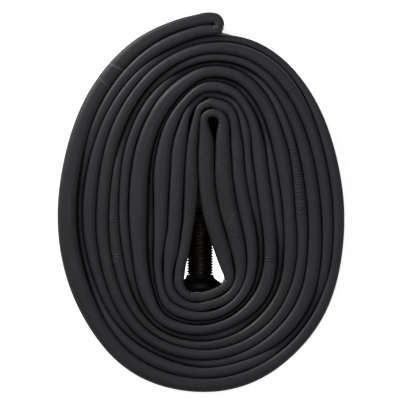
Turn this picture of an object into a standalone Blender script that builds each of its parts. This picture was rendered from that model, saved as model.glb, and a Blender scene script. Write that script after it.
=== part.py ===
"""Bicycle inner tube, pressed flat and rolled up from its valve.

Frame: the roll stands on its edges, roll axis along +Z, valve stem pointing to +Y.
Origin: centre of the tube's bounding box in x and y, on the plane the roll rests on.
Units: the sizes below are in millimetres, angles in degrees; the scene is in metres.
"""

import math

import bmesh
import bpy
import numpy as np

MM = 0.001
SHARP_ANGLE = 35  # edges bent further than this are shaded sharp

# ---------------------------------------------------------------- tube sizes
FLAT_WIDTH = 44.0  # width of the tube pressed flat = height of the roll
STRAND_MIN = 1.9  # two walls and the film of air left between them
WALL = 0.8
GAP = 0.34  # clearance kept between neighbouring wraps
MIDDLE_GAP = 0.44  # the same, aimed for on the roll's mid plane
TOUCH = STRAND_MIN + GAP
BULGE_AT = 0.88  # share of the half height where the folded edge is thickest
TIP_FLAT = 0.42  # share of the edge's thickness that is flat at its very tip

# The narrow, buried wraps sink below the others.
RECESS_MAX = 3.0
RECESS_BELOW = TOUCH + 0.15  # wraps shown narrower than this sink
RECESS_RATE = 2.4  # depth for each mm that a wrap is narrower

# The film of air inside the tube.
AIR_HALF_MIN = 0.12
AIR_END_AT = BULGE_AT + 0.02  # share of the half height where the film ends
AIR_EDGE_SHARE = 0.8  # share of the edge's half thickness, less a share of the wall
AIR_EDGE_WALL = 0.85

# ---------------------------------------------------------------- the roll as laid
# Seam radii from the roll's centre, along compass directions (degrees clockwise from +Y).
# Row 0 is the roll's outside; each next row is one wrap further in.
# Row k at 360 degrees runs on into row k - 2 at 0.
COMPASS = (0, 15, 30, 45, 60, 90, 120, 135, 150, 165, 180, 200, 215, 240, 270, 310, 335, 350)
SEAMS = (
    (48.3, 48.8, 46.6, 43.3, 40.6, 39.3, 43.1, 46.4, 49.4,
     52.1, 53.1, 52.3, 49.6, 44.6, 41.6, 45.1, 50.5, 52.9),
    (46.3, 46.9, 44.9, 41.1, 38.1, 36.6, 40.6, 43.7, 46.6,
     48.5, 49.6, 48.3, 45.2, 39.3, 36.6, 40.6, 46.6, 50.0),
    (43.3, 43.4, 41.1, 37.4, 34.6, 33.1, 38.0, 41.8, 44.6,
     45.5, 46.6, 44.8, 42.8, 37.4, 34.9, 38.0, 43.4, 46.3),
    (41.0, 41.2, 38.3, 33.8, 30.6, 29.1, 33.4, 37.6, 40.9,
     43.2, 44.3, 43.1, 40.5, 34.3, 31.0, 34.9, 41.0, 44.3),
    (39.7, 39.6, 36.0, 31.0, 28.0, 25.7, 30.3, 34.1, 37.9,
     40.3, 41.4, 40.3, 37.0, 30.6, 27.3, 31.1, 37.7, 41.4),
    (36.3, 36.2, 31.6, 26.5, 23.3, 22.0, 26.1, 30.7, 34.6,
     37.4, 39.1, 38.1, 34.3, 27.1, 24.6, 28.9, 35.6, 39.1),
    (35.3, 34.5, 29.4, 24.1, 20.7, 19.6, 23.7, 28.6, 33.1,
     35.0, 37.1, 36.6, 32.0, 24.3, 21.9, 26.0, 33.0, 37.1),
    (32.4, 31.7, 25.7, 18.6, 16.3, 15.4, 19.4, 23.8, 28.9,
     32.2, 34.4, 33.4, 26.9, 19.1, 16.3, 20.3, 27.6, 32.9),
    (30.9, 29.7, 21.6, 15.6, 13.6, 13.1, 17.1, 21.4, 27.4,
     31.2, 33.1, 32.3, 25.1, 16.6, 14.6, 18.7, 26.5, 31.9),
    (28.6, 26.0, 14.9, 10.9, 9.6, 9.1, 12.4, 16.8, 23.7,
     28.7, 30.7, 29.1, 21.4, 12.1, 10.6, 12.9, 21.2, 29.1),
)
# The innermost seam, (degrees, radius), runs only from the foot of the roll up its left
# side to the top.
INNER_SEAM = (
    (180, 27.7), (190, 28.0), (200, 25.4), (207, 20.0), (215, 12.3), (227, 9.0), (240, 7.4),
    (270, 6.6), (310, 8.0), (335, 13.1), (345, 20.0), (350, 25.7), (360, 30.9),
)
LAST_A, LAST_B = 51.7, 54.3  # radii where the seams outside strands A and B end

TURNS = 5
GRID_STEP = 3.0  # degrees between samples of a seam
WRAP = 120  # samples of a seam in one turn
SPAN_STEPS_SEAM, SPAN_STEPS_HEART, SPAN_STEPS_BIGHT = 14, 8, 6  # curve samples to a span

# The heart of the roll, hand-laid: (x, y, strand width).
# HEART_A leaves the valve to the right, climbs beside the stem, turns over the small eye at
# the top and comes down again; HEART_B leaves the valve to the left and climbs to the top.
HEART_A = (
    (-1.4, -26.4, 2.6), (3.4, -25.2, 2.7), (5.8, -23.8, 2.7), (7.4, -21.4, 3.0),
    (6.9, -18.6, 4.1), (6.0, -15.7, 4.8), (4.0, -10.0, 4.9), (2.1, -4.3, 4.7),
    (1.1, 1.4, 4.9), (0.7, 8.6, 4.9), (0.7, 15.2, 4.9), (0.1, 20.0, 3.6),
    (-0.5, 24.0, 2.1), (0.4, 26.8, 1.9), (2.4, 27.6, 2.1), (4.7, 26.8, 2.4),
    (5.8, 24.0, 3.1), (5.5, 20.0, 4.0), (5.4, 15.2, 4.6), (5.9, 7.2, 5.3),
    (6.8, 0.0, 5.8), (8.5, -7.1, 5.7), (10.1, -13.4, 4.6), (10.9, -18.6, 3.4),
    (10.0, -22.9, 2.9), (8.0, -25.9, 2.8), (4.9, -27.8, 2.9),
)
HEART_B = (
    (-4.6, -26.2, 2.6), (-6.9, -25.0, 2.4), (-7.9, -22.3, 3.0), (-7.7, -18.6, 3.4),
    (-6.5, -12.9, 4.0), (-5.3, -7.1, 3.6), (-4.2, -1.4, 4.3), (-3.9, 5.7, 4.2),
    (-3.7, 12.9, 3.7), (-3.2, 19.1, 2.9), (-2.4, 24.9, 2.0), (-1.4, 27.7, 1.9),
)
# The fold where the two strands meet at the end of the roll, from the inner leg round to
# the outer leg: (x, y, strand width).
BIGHT = (
    (1.2, 49.75, 2.7), (2.7, 49.9, 2.3), (3.55, 50.7, 2.1),
    (3.45, 51.9, 2.1), (2.5, 52.75, 2.2), (1.0, 52.85, 2.4),
)

# ---------------------------------------------------------------- valve sizes
# Radii are from the valve's axis and heights are above its foot.
VALVE_X, VALVE_Y = -1.4, -25.2  # foot of the valve on the tube, on the roll's mid plane
FIT = 0.3  # radial clearance round the stem and round the pin
AIR_HOLE_R, AIR_HOLE_TOP = 2.5, 1.5

FOOT_R, FOOT_TOP = 4.6, 1.2
SHANK_R = 2.95
THREAD_R = 3.85
THREAD_END_R = 3.3  # where the thread's two ends are chamfered
STEM_TOP = 33.0
CORE_BORE_R = 2.65
AIR_BORE_R = 2.1
BASE_R, BASE_TOP = 6.25, 5.0

PIN_R = 0.45
PIN_PART_BORE_R = PIN_R + FIT
KEY_FLAT_X, KEY_FLAT_LOW, KEY_FLAT_HIGH = 1.45, 31.0, 33.0
KEY_CUT_REACH = 3.0  # how far the key flats' cutters reach from the axis
SPRING_R, SPRING_WIRE_R = 0.95, 0.12
SPRING_LOW, SPRING_HIGH = 15.3, 23.8
SPRING_COILS, COIL_SEGMENTS, WIRE_SEGMENTS = 8, 12, 5

THREADED_BORE_R = THREAD_R + FIT  # of the nut and the cap
NUT_R, NUT_LOW, NUT_HIGH = 6.15, 19.8, 23.0
NUT_RIBS, NUT_RIB_DEPTH = 20, 0.35
CAP_R, CAP_LOW, CAP_TOP = 4.7, 24.3, 35.4
CAP_INNER_TOP = 34.2
CAP_RIBS, CAP_RIB_DEPTH = 18, 0.22

# ---------------------------------------------------------------- settling the strands
PATH_STEP = 2.0  # spacing of the samples along the tube
AWAY = 6  # samples along the ring that don't count as neighbours
SEARCH_REACH = 8.5  # neighbours are looked for this near
SEARCH_EVERY = 8  # rounds between searches
EDGE_ROUNDS, MIDDLE_ROUNDS = 260, 400
LAST_ROUNDS = 60  # closing rounds that only push, without spreading or easing back
PUSH_SHARE = 0.9  # share of each push that is carried out
EASE_BACK = 0.999  # share of the shift kept in a round
# Room kept free on the mid plane, as (centre, half size, corner radius): the valve's foot
# and the nut's run, then the stem's end and the cap's run.
POCKETS = (
    ((VALVE_X, VALVE_Y + 11.85), (BASE_R + 0.65, 11.95), 2.4),
    ((VALVE_X, VALVE_Y + 30.5), (CAP_R + 0.5, 11.0), 4.2),
)

# ---------------------------------------------------------------- the tube's cross-sections
STATIONS_PER_TURN = 30
RAY_CENTRE_X = 0.6  # the wraps' shared rays are hyperbolas about two foci on this line,
RAY_FOCUS_Y = 22.0  # this far above and below the centre
LOOSE_LENGTH = 5.5  # in the heart and bight, a new section after this length,
LOOSE_BEND = 0.34  # or this bend (radians), or shares of both that add up to one
CORNER_COSINE_MIN = 0.8  # limits how far a normal is lengthened at a corner


# ================================================================ curve tools
def blend(at, low, high, value_low, value_high):
    """The value at a knot position on the line between two valued knots."""
    return (high - at) / (high - low) * value_low + (at - low) / (high - low) * value_high


def through(points, steps):
    """A centripetal Catmull-Rom curve, steps samples to each span, ends included."""
    points = np.asarray(points, float)
    first = 2 * points[0] - points[1]
    last = 2 * points[-1] - points[-2]
    ends = np.vstack([first, points, last])
    curve = []
    for before, start, end, after in zip(ends, ends[1:], ends[2:], ends[3:]):
        knot_start = np.linalg.norm((start - before)[:2]) ** 0.5
        knot_end = knot_start + np.linalg.norm((end - start)[:2]) ** 0.5
        knot_after = knot_end + np.linalg.norm((after - end)[:2]) ** 0.5
        at = np.linspace(knot_start, knot_end, steps, endpoint=False)[:, None]
        leading = blend(at, 0, knot_start, before, start)
        central = blend(at, knot_start, knot_end, start, end)
        trailing = blend(at, knot_end, knot_after, end, after)
        early = blend(at, 0, knot_end, leading, central)
        late = blend(at, knot_start, knot_after, central, trailing)
        curve.append(blend(at, knot_start, knot_end, early, late))
    return np.vstack(curve + [points[-1:]])


def on_compass(degrees, radius):
    angle = np.radians(degrees)
    return np.stack([radius * np.sin(angle), radius * np.cos(angle)], -1)


def seam_radii(grid, readings):
    """Radii at the grid's degrees of a smooth seam through (degrees, radius) readings."""
    readings = np.asarray(readings, float)
    curve = through(on_compass(readings[:, 0], readings[:, 1]), SPAN_STEPS_SEAM)
    angle = np.degrees(np.unwrap(np.arctan2(curve[:, 0], curve[:, 1])))
    angle += 360 * round((readings[0, 0] - angle[0]) / 360)
    return np.interp(grid, angle, np.hypot(curve[:, 0], curve[:, 1]))


def smoothed(values, reach):
    """A running average over 2 * reach + 1 samples, ends held."""
    padded = np.pad(values, reach, "edge")
    window = 2 * reach + 1
    return sum(padded[i : i + len(values)] for i in range(window)) / window


def sampled(values, at):
    """Values of a closed list at fractional sample numbers."""
    count = len(values)
    low = np.floor(at).astype(int)
    part = at - low
    if values.ndim > 1:
        part = part[:, None]
    return values[low % count] * (1 - part) + values[(low + 1) % count] * part


def even(path, spacing):
    """The closed path resampled at even steps."""
    ring = np.vstack([path, path[:1]])
    lengths = np.linalg.norm(np.diff(ring[:, :2], axis=0), axis=1)
    run = np.concatenate([[0], np.cumsum(lengths)])
    count = int(round(run[-1] / spacing))
    at = np.arange(count) * run[-1] / count
    return np.column_stack([np.interp(at, run, column) for column in ring.T])


def sides(points):
    """Normals to the left of a closed polyline, lengthened at its corners so that an
    offset keeps its thickness."""
    ahead = np.roll(points, -1, 0) - points
    ahead /= np.linalg.norm(ahead, axis=1)[:, None]
    along = ahead + np.roll(ahead, 1, 0)
    along /= np.linalg.norm(along, axis=1)[:, None]
    stretch = 1 / np.clip((along * ahead).sum(1), CORNER_COSINE_MIN, 1)
    return np.column_stack([-along[:, 1], along[:, 0]]) * stretch[:, None]


# ================================================================ laying the roll
def outer_seam(grid, first_row, last_radius):
    """Radii of a strand's outer surface as a spiral, from every other row of SEAMS."""
    readings = [
        (degrees + 360 * turn, radius)
        for turn, row in enumerate(range(first_row, -1, -2))
        for degrees, radius in zip(COMPASS, SEAMS[row])
    ]
    readings.append((360 * TURNS, last_radius))
    return seam_radii(grid, readings)


def shared_out(grid, a_out, b_out, inner):
    """Thickens wraps that look thinner than the tube can be, at their wider neighbours'
    cost, direction by direction."""
    new_a, new_b = a_out.copy(), b_out.copy()
    lean_a, lean_b = (np.abs(np.gradient(r, np.radians(grid))) / r for r in (a_out, b_out))
    for k in range(WRAP + 1):
        radii, slopes, slots = [], [], []  # from the outside in
        for turn in range(TURNS - 1, -1, -1):
            i = k + WRAP * turn
            radii += [b_out[i], a_out[i]]
            slopes += [lean_b[i], lean_a[i]]
            slots += [(new_b, i), (new_a, i)]
        if k >= WRAP // 2:  # from 180 degrees on, where the inner seam exists
            radii.append(inner[k])
            slopes.append(slopes[-1])
        radii, slopes = np.array(radii), np.array(slopes)
        width = radii[:-1] - radii[1:]
        least = TOUCH * np.sqrt(1 + (0.5 * (slopes[:-1] + slopes[1:])) ** 2)
        spare = np.maximum(width - least, 0)
        lack = np.maximum(least - width, 0).sum()
        width = np.maximum(width, least) - spare * min(1.0, lack / max(spare.sum(), 1e-9))
        width *= (radii[0] - radii[-1]) / width.sum()
        moved = radii[0] - np.concatenate([[0], np.cumsum(width)])
        for (row, i), radius in zip(slots[1:], moved[1:]):
            row[i] = radius
    return smoothed(new_a, 3), smoothed(new_b, 3)


def strand(grid, outside, inside, shown, start):
    """Path rows along a strand between its two seams, from start degrees on."""
    middle = 0.5 * (outside + inside)
    lean = np.gradient(middle, np.radians(grid)) / middle
    width = (outside - inside) / np.sqrt(1 + lean**2)
    shown = np.minimum(shown, width)
    rows = np.column_stack([on_compass(grid, middle), width, shown, np.ones(len(grid))])
    return rows[grid >= start]


def loose(rows):
    """Path rows of hand-laid (x, y, width) points."""
    rows = np.asarray(rows, float)
    return np.column_stack([rows, rows[:, 2], np.zeros(len(rows))])


def path_of_tube():
    """The whole ring as one closed list of (x, y, width, shown width, wrapped), from the
    valve along strand A, back along strand B.

    The shown width is what a strand had before the narrow ones were thickened; wrapped is
    1 on the spiral wraps and 0 in the heart and the bight."""
    grid = np.arange(0, 360 * TURNS + 1, GRID_STEP)
    a_raw = outer_seam(grid, 9, LAST_A)
    b_raw = outer_seam(grid, 8, LAST_B)
    inner = seam_radii(grid, INNER_SEAM)
    a_out, b_out = shared_out(grid, a_raw, b_raw, inner)

    def inside_a(b_seam):
        """Strand A lies on the inner seam for one turn, then on strand B."""
        return np.concatenate([inner[: WRAP + 1], b_seam[1 : (TURNS - 1) * WRAP + 1]])

    strand_a = strand(grid, a_out, inside_a(b_out), a_raw - inside_a(b_raw), 180 + GRID_STEP)
    strand_b = strand(grid, b_out, a_out, b_raw - a_raw, GRID_STEP)

    heart_a = through(np.vstack([loose(HEART_A), strand_a[:1]]), SPAN_STEPS_HEART)[:-1]
    heart_b = through(
        np.vstack([strand_b[:1], loose(HEART_B[::-1]), loose(HEART_A[:1])]), SPAN_STEPS_HEART
    )[1:-1]
    bight = through(
        np.vstack([strand_a[-1:], loose(BIGHT), strand_b[-1:]]), SPAN_STEPS_BIGHT
    )[1:-1]
    return np.vstack([heart_a, strand_a, bight, strand_b[::-1], heart_b])


# ================================================================ settling the strands
def rounded_box(points, centre, half_size, radius):
    """Signed distance and outward direction of a round-cornered box."""
    local = points - centre
    beyond = np.abs(local) - (np.asarray(half_size) - radius)
    outside = np.maximum(beyond, 0)
    far = np.linalg.norm(outside, axis=1)
    nearest = np.eye(2)[np.argmax(beyond, axis=1)]
    is_out = far > 1e-9
    direction = np.where(is_out[:, None], outside / np.maximum(far, 1e-9)[:, None], nearest)
    distance = np.where(is_out, far, beyond.max(axis=1)) - radius
    return distance, direction * np.where(local < 0, -1.0, 1.0)


def ring_distance(first, second, count):
    """Samples between two sample numbers, the shorter way round the ring."""
    along = np.abs(first - second)
    return np.minimum(along, count - along)


def neighbours(points):
    """Sample pairs that lie near each other but are far apart along the ring."""
    count = len(points)
    index = np.arange(count)
    apart = np.linalg.norm(points[:, None] - points[None], axis=2)
    along = ring_distance(index[:, None], index[None], count)
    return np.nonzero((apart < SEARCH_REACH) & (along > AWAY))


def crowding(points, half, gap, sample, start, end):
    """How samples crowd the segments from start to end: the share of each segment at its
    nearest point, the direction away from it, and the room that is lacking."""
    span = points[end] - points[start]
    reach = ((points[sample] - points[start]) * span).sum(1)
    share = np.clip(reach / np.maximum((span**2).sum(1), 1e-9), 0, 1)
    offset = points[sample] - (points[start] + share[:, None] * span)
    distance = np.maximum(np.linalg.norm(offset, axis=1), 1e-6)
    needed = half[sample] + (1 - share) * half[start] + share * half[end] + gap
    return share, offset / distance[:, None], np.maximum(needed - distance, 0)


def settled(laid, half, rounds, gap, pockets=()):
    """Pushes the strands apart until no two come closer than their half widths and the
    gap, and out of the pockets."""
    count = len(laid)
    here = laid.copy()
    for step in range(rounds):
        if step % SEARCH_EVERY == 0:
            sample, start = neighbours(here)
            end = (start + 1) % count
            keep = ring_distance(sample, end, count) > AWAY
            sample, start, end = sample[keep], start[keep], end[keep]
        share, away, short = crowding(here, half, gap, sample, start, end)
        push = away * (0.5 * short)[:, None]
        move, hits = np.zeros_like(here), np.full(count, 1e-9)
        parts = ((sample, np.ones_like(share)), (start, -(1 - share)), (end, -share))
        for who, weight in parts:
            np.add.at(move, who, push * weight[:, None])
            np.add.at(hits, who, np.abs(weight) * (short > 0))
        here = here + PUSH_SHARE * move / np.maximum(hits, 1.0)[:, None]
        for centre, half_size, radius in pockets:
            distance, direction = rounded_box(here, centre, half_size, radius)
            here = here + direction * np.maximum(half + GAP - distance, 0)[:, None]
        if step < rounds - LAST_ROUNDS:
            # spread each push along the strand, and ease back towards where it lay
            shift = here - laid
            shift = 0.5 * shift + 0.25 * (np.roll(shift, 1, 0) + np.roll(shift, -1, 0))
            here = laid + shift * EASE_BACK
    return here


def trimmed(points, half):
    """Half widths, narrowed wherever a neighbour is still too close."""
    sample, start = neighbours(points)
    end = (start + 1) % len(points)
    short = crowding(points, half, GAP, sample, start, end)[2]
    less = np.zeros(len(points))
    np.maximum.at(less, sample, 0.5 * short)
    np.maximum.at(less, start, 0.5 * short)
    return half - less


def stations(points, wrapped):
    """Fractional sample numbers of the tube's cross-sections: on rays shared by all the
    wraps, and by length and bend in the heart and the bight."""
    elliptic = np.arccosh((points[:, 1] + 1j * (points[:, 0] - RAY_CENTRE_X)) / RAY_FOCUS_Y)
    ray_number = np.degrees(elliptic.imag) / (360 / STATIONS_PER_TURN)
    ahead = np.roll(points, -1, 0) - points
    length = np.linalg.norm(ahead, axis=1)
    heading = np.arctan2(ahead[:, 1], ahead[:, 0])
    turn = heading - np.roll(heading, 1)
    bend = np.abs((turn + math.pi) % (2 * math.pi) - math.pi)
    chosen, measure = [], 0.0
    for i in range(len(points)):
        if wrapped[i] > 0.5:
            low, high = ray_number[i], ray_number[(i + 1) % len(points)]
            if abs(high - low) > STATIONS_PER_TURN / 2:
                high += STATIONS_PER_TURN * (1 if high < low else -1)
            first, last = sorted((low, high))
            ray = math.ceil(first)
            if ray < last and abs(high - low) > 1e-9:
                chosen.append(i + (ray - low) / (high - low))
            measure = 0.0
        else:
            measure += length[i] / LOOSE_LENGTH + bend[i] / LOOSE_BEND
            if measure >= 1:
                chosen.append(float(i))
                measure = 0.0
    return np.array(chosen)


# ================================================================ mesh tools
def material(name, colour, roughness, metallic=0.0):
    made = bpy.data.materials.new(name)
    made.use_nodes = True
    shader = made.node_tree.nodes["Principled BSDF"]
    shader.inputs["Base Color"].default_value = (*colour, 1.0)
    shader.inputs["Roughness"].default_value = roughness
    shader.inputs["Metallic"].default_value = metallic
    return made


def add_object(name, shape, finish, parent=None, smooth=True, face_out=True):
    """Links a bmesh as an object and hangs it on its parent empty."""
    if face_out:
        bmesh.ops.recalc_face_normals(shape, faces=shape.faces)
    mesh = bpy.data.meshes.new(name)
    shape.to_mesh(mesh)
    shape.free()
    if smooth:
        mesh.shade_smooth()
        mesh.set_sharp_from_angle(angle=math.radians(SHARP_ANGLE))
    if finish:
        mesh.materials.append(finish)
    thing = bpy.data.objects.new(name, mesh)
    bpy.context.scene.collection.objects.link(thing)
    if parent:
        mesh.transform(parent.matrix_world.inverted())
        thing.parent = parent
    return thing


def new_vertex(shape, point):
    return shape.verts.new([c * MM for c in point])


def skin(shape, rings, closed):
    """Skins faces over rings of equal point counts and returns the rows of vertices."""
    rows = [[new_vertex(shape, point) for point in ring] for ring in rings]
    pairs = list(zip(rows, rows[1:]))
    if closed:
        pairs.append((rows[-1], rows[0]))
    for row, after in pairs:
        for i in range(len(row)):
            j = (i + 1) % len(row)
            shape.faces.new((row[i], row[j], after[j], after[i]))
    return rows


def on_valve(radius, turn, height):
    """A point about the valve's axis, turn in radians."""
    return (
        VALVE_X + radius * math.cos(turn),
        VALVE_Y + height,
        -radius * math.sin(turn),
    )


def turned(profile, segments, ribbed=(), rib_depth=0.0):
    """Turns a closed (radius, height) profile about the valve's axis. Points at radius 0
    become a pole. The profile points numbered in ribbed are cut back by rib_depth on
    every other segment."""
    shape = bmesh.new()
    poles = {
        k: new_vertex(shape, on_valve(0, 0, height))
        for k, (radius, height) in enumerate(profile)
        if radius == 0
    }
    rows = []
    for i in range(segments):
        turn = 2 * math.pi * i / segments
        row = []
        for k, (radius, height) in enumerate(profile):
            if k in poles:
                row.append(poles[k])
                continue
            cut_back = rib_depth if k in ribbed and i % 2 else 0
            row.append(new_vertex(shape, on_valve(radius - cut_back, turn, height)))
        rows.append(row)
    for row, after in zip(rows, rows[1:] + rows[:1]):
        for i in range(len(profile)):
            j = (i + 1) % len(profile)
            corners = list(dict.fromkeys((row[i], row[j], after[j], after[i])))
            if len(corners) > 2:
                shape.faces.new(corners)
    return shape


def block(low, high):
    """A box between two corners given as (x from the valve's axis, height, z)."""
    shape = bmesh.new()
    bmesh.ops.create_cube(shape, size=1.0)
    for vertex in shape.verts:
        x, height, z = (l + (c + 0.5) * (h - l) for c, l, h in zip(vertex.co, low, high))
        vertex.co = ((VALVE_X + x) * MM, (VALVE_Y + height) * MM, z * MM)
    return shape


def cut(thing, name, shape):
    """Takes a hidden shape away from an object."""
    tool = add_object(name, shape, None, smooth=False)
    tool.hide_render = True
    tool.display_type = "WIRE"
    step = thing.modifiers.new("cut", "BOOLEAN")
    step.operation = "DIFFERENCE"
    step.solver = "EXACT"
    step.object = tool


def empty_at(name, height):
    """An empty on the valve's axis."""
    thing = bpy.data.objects.new(name, None)
    thing.location = [c * MM for c in on_valve(0, 0, height)]
    bpy.context.scene.collection.objects.link(thing)
    bpy.context.view_layer.update()
    return thing


# ================================================================ the tube
def cross_section(levels):
    """A closed ring of points, up one side of the strand and down the other, from levels
    of (centre, normal, half thickness, z)."""
    up = [(*(centre + normal * half), z) for centre, normal, half, z in levels]
    down = [(*(centre - normal * half), z) for centre, normal, half, z in reversed(levels)]
    return up + down


def build_tube(finish):
    path = even(path_of_tube(), PATH_STEP)
    half = np.maximum((path[:, 2] - GAP) / 2, STRAND_MIN / 2)
    edge = settled(path[:, :2], half, EDGE_ROUNDS, GAP)
    half_edge = trimmed(edge, half)
    flat = np.full(len(path), STRAND_MIN / 2)
    middle = settled(edge, flat, MIDDLE_ROUNDS, MIDDLE_GAP, POCKETS)
    half_middle = trimmed(middle, flat)

    at = stations(edge, path[:, 4])
    edge_at, middle_at = sampled(edge, at), sampled(middle, at)
    shown = smoothed(sampled(path[:, 3], at), 2)
    recess = np.clip((RECESS_BELOW - shown) * RECESS_RATE, 0, RECESS_MAX)
    sections = zip(
        edge_at, sides(edge_at), sampled(half_edge, at),
        middle_at, sides(middle_at), sampled(half_middle, at),
        FLAT_WIDTH / 2 - recess,
    )

    outer, inner = [], []
    for edge_point, edge_side, edge_half, middle_point, middle_side, middle_half, tip in sections:
        bulge, air_end = BULGE_AT * tip, AIR_END_AT * tip
        tip_half = TIP_FLAT * edge_half
        air_edge = max(AIR_EDGE_SHARE * edge_half - AIR_EDGE_WALL * WALL, AIR_HALF_MIN)
        air_middle = max(middle_half - WALL, AIR_HALF_MIN)
        outer.append(cross_section([
            (edge_point, edge_side, tip_half, -tip),
            (edge_point, edge_side, edge_half, -bulge),
            (middle_point, middle_side, middle_half, 0),
            (edge_point, edge_side, edge_half, bulge),
            (edge_point, edge_side, tip_half, tip),
        ]))
        inner.append(cross_section([
            (edge_point, edge_side, air_edge, -air_end),
            (middle_point, middle_side, air_middle, 0),
            (edge_point, edge_side, air_edge, air_end),
        ]))

    # the shell faces outwards, the hollow's faces look into the film of air
    shape = bmesh.new()
    skin(shape, outer, closed=True)
    shell = list(shape.faces)
    bmesh.ops.recalc_face_normals(shape, faces=shell)
    skin(shape, inner, closed=True)
    hollow = list(shape.faces)[len(shell) :]
    bmesh.ops.recalc_face_normals(shape, faces=hollow)
    bmesh.ops.reverse_faces(shape, faces=hollow)
    tube = add_object("inner_tube", shape, finish, face_out=False)

    # the hole under the valve, from above the strand into the film of air
    air = middle[0, 1] - VALVE_Y
    hole = [(0, air), (AIR_HOLE_R, air), (AIR_HOLE_R, AIR_HOLE_TOP), (0, AIR_HOLE_TOP)]
    cut(tube, "air_hole", turned(hole, 20))


# ================================================================ the valve
# Every profile is a closed outline of (radius, height) points.
def build_base(finish):
    pocket_top = 1.5  # over the stem's foot
    profile = [
        (FOOT_R + FIT, 0.25), (5.5, 0.25), (6.05, 0.8), (BASE_R, 1.3), (BASE_R, 1.7),
        (5.95, 2.7), (5.0, 3.5), (4.25, 4.2), (4.0, BASE_TOP), (SHANK_R + FIT, BASE_TOP),
        (SHANK_R + FIT, pocket_top), (FOOT_R + FIT, pocket_top),
    ]
    add_object("valve_base", turned(profile, 28), finish)


def build_stem(finish):
    thread_low = BASE_TOP + 0.3
    profile = [
        (AIR_BORE_R, 0.3), (FOOT_R, 0.3), (FOOT_R, FOOT_TOP), (SHANK_R, FOOT_TOP),
        (SHANK_R, thread_low), (THREAD_END_R, thread_low), (THREAD_R, thread_low + 0.5),
        (THREAD_R, STEM_TOP - 0.7), (THREAD_END_R, STEM_TOP), (2.9, STEM_TOP),
        (CORE_BORE_R, STEM_TOP - 0.4), (CORE_BORE_R, 27.0), (AIR_BORE_R, 25.5),
    ]
    add_object("valve_stem", turned(profile, 24), finish)


def build_plug(finish):
    """The core's top piece, with two flats for the core key."""
    profile = [(1.05, 28.9), (2.3, 28.9), (2.3, 32.1), (2.05, 32.4), (1.05, 32.4)]
    plug = add_object("core_plug", turned(profile, 20), finish)
    for side in (-1, 1):
        low, high = sorted((side * KEY_FLAT_X, side * KEY_CUT_REACH))
        flat = block((low, KEY_FLAT_LOW, -KEY_CUT_REACH), (high, KEY_FLAT_HIGH, KEY_CUT_REACH))
        cut(plug, f"key_flat_{side + 1}", flat)


def build_barrel(brass, soft):
    barrel = [
        (1.05, 14.0), (1.75, 14.0), (1.75, 25.2), (1.5, 25.5), (1.5, 27.9), (2.2, 27.9),
        (2.2, 28.6), (0.8, 28.6), (0.8, 25.0), (1.4, 25.0), (1.4, 15.0), (0.8, 15.0),
        (0.8, 14.0),
    ]
    gasket = [(1.8, 26.1), (1.97, 26.1), (2.3, 27.0), (2.3, 27.6), (1.8, 27.6)]
    add_object("core_barrel", turned(barrel, 20), brass)
    add_object("barrel_gasket", turned(gasket, 20), soft)


def build_pin(steel, brass, soft):
    """The sprung pin and what it carries; they move along the axis together."""
    slider = empty_at("pin_axis", STEM_TOP)
    bore = PIN_PART_BORE_R
    pin = [
        (0, 11.4), (1.0, 11.4), (1.0, 11.9), (PIN_R, 11.9),
        (PIN_R, 32.0), (0.7, 32.1), (0.7, 32.7), (0, 32.8),
    ]
    collar = [(bore, 24.1), (1.08, 24.1), (1.08, 24.7), (bore, 24.7)]
    cup = [
        (bore, 12.2), (1.6, 12.2), (1.75, 12.4), (1.75, 13.5),
        (1.5, 13.5), (1.5, 12.6), (bore, 12.6),
    ]
    seal = [(bore, 12.9), (1.2, 12.9), (1.2, 13.7), (bore, 13.7)]
    add_object("core_pin", turned(pin, 14), steel, slider)
    add_object("pin_collar", turned(collar, 16), brass, slider)
    add_object("seal_cup", turned(cup, 18), brass, slider)
    add_object("seat_seal", turned(seal, 18), soft, slider)


def build_spring(finish):
    """The spring between the barrel's floor and the pin's collar."""
    low, high = SPRING_LOW + SPRING_WIRE_R, SPRING_HIGH - SPRING_WIRE_R
    steps = COIL_SEGMENTS * SPRING_COILS
    rings = []
    for i in range(steps + 1):
        turn = 2 * math.pi * i / COIL_SEGMENTS
        height = low + (high - low) * i / steps
        section = []
        for k in range(WIRE_SEGMENTS):
            around = 2 * math.pi * k / WIRE_SEGMENTS
            radius = SPRING_R + SPRING_WIRE_R * math.cos(around)
            section.append(on_valve(radius, turn, height + SPRING_WIRE_R * math.sin(around)))
        rings.append(section)
    shape = bmesh.new()
    rows = skin(shape, rings, closed=False)
    shape.faces.new(rows[0])
    shape.faces.new(rows[-1])
    add_object("core_spring", shape, finish)


def build_nut(finish):
    """The ribbed ring nut on the stem."""
    bore = THREADED_BORE_R
    profile = [
        (bore + 0.3, NUT_LOW), (5.6, NUT_LOW), (NUT_R, NUT_LOW + 0.5),
        (NUT_R, NUT_HIGH - 0.5), (5.6, NUT_HIGH), (bore + 0.3, NUT_HIGH),
        (bore, NUT_HIGH - 0.4), (bore, NUT_LOW + 0.4),
    ]
    shape = turned(profile, 2 * NUT_RIBS, ribbed=(2, 3), rib_depth=NUT_RIB_DEPTH)
    add_object("rim_nut", shape, finish, empty_at("nut_axis", NUT_LOW))


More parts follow.
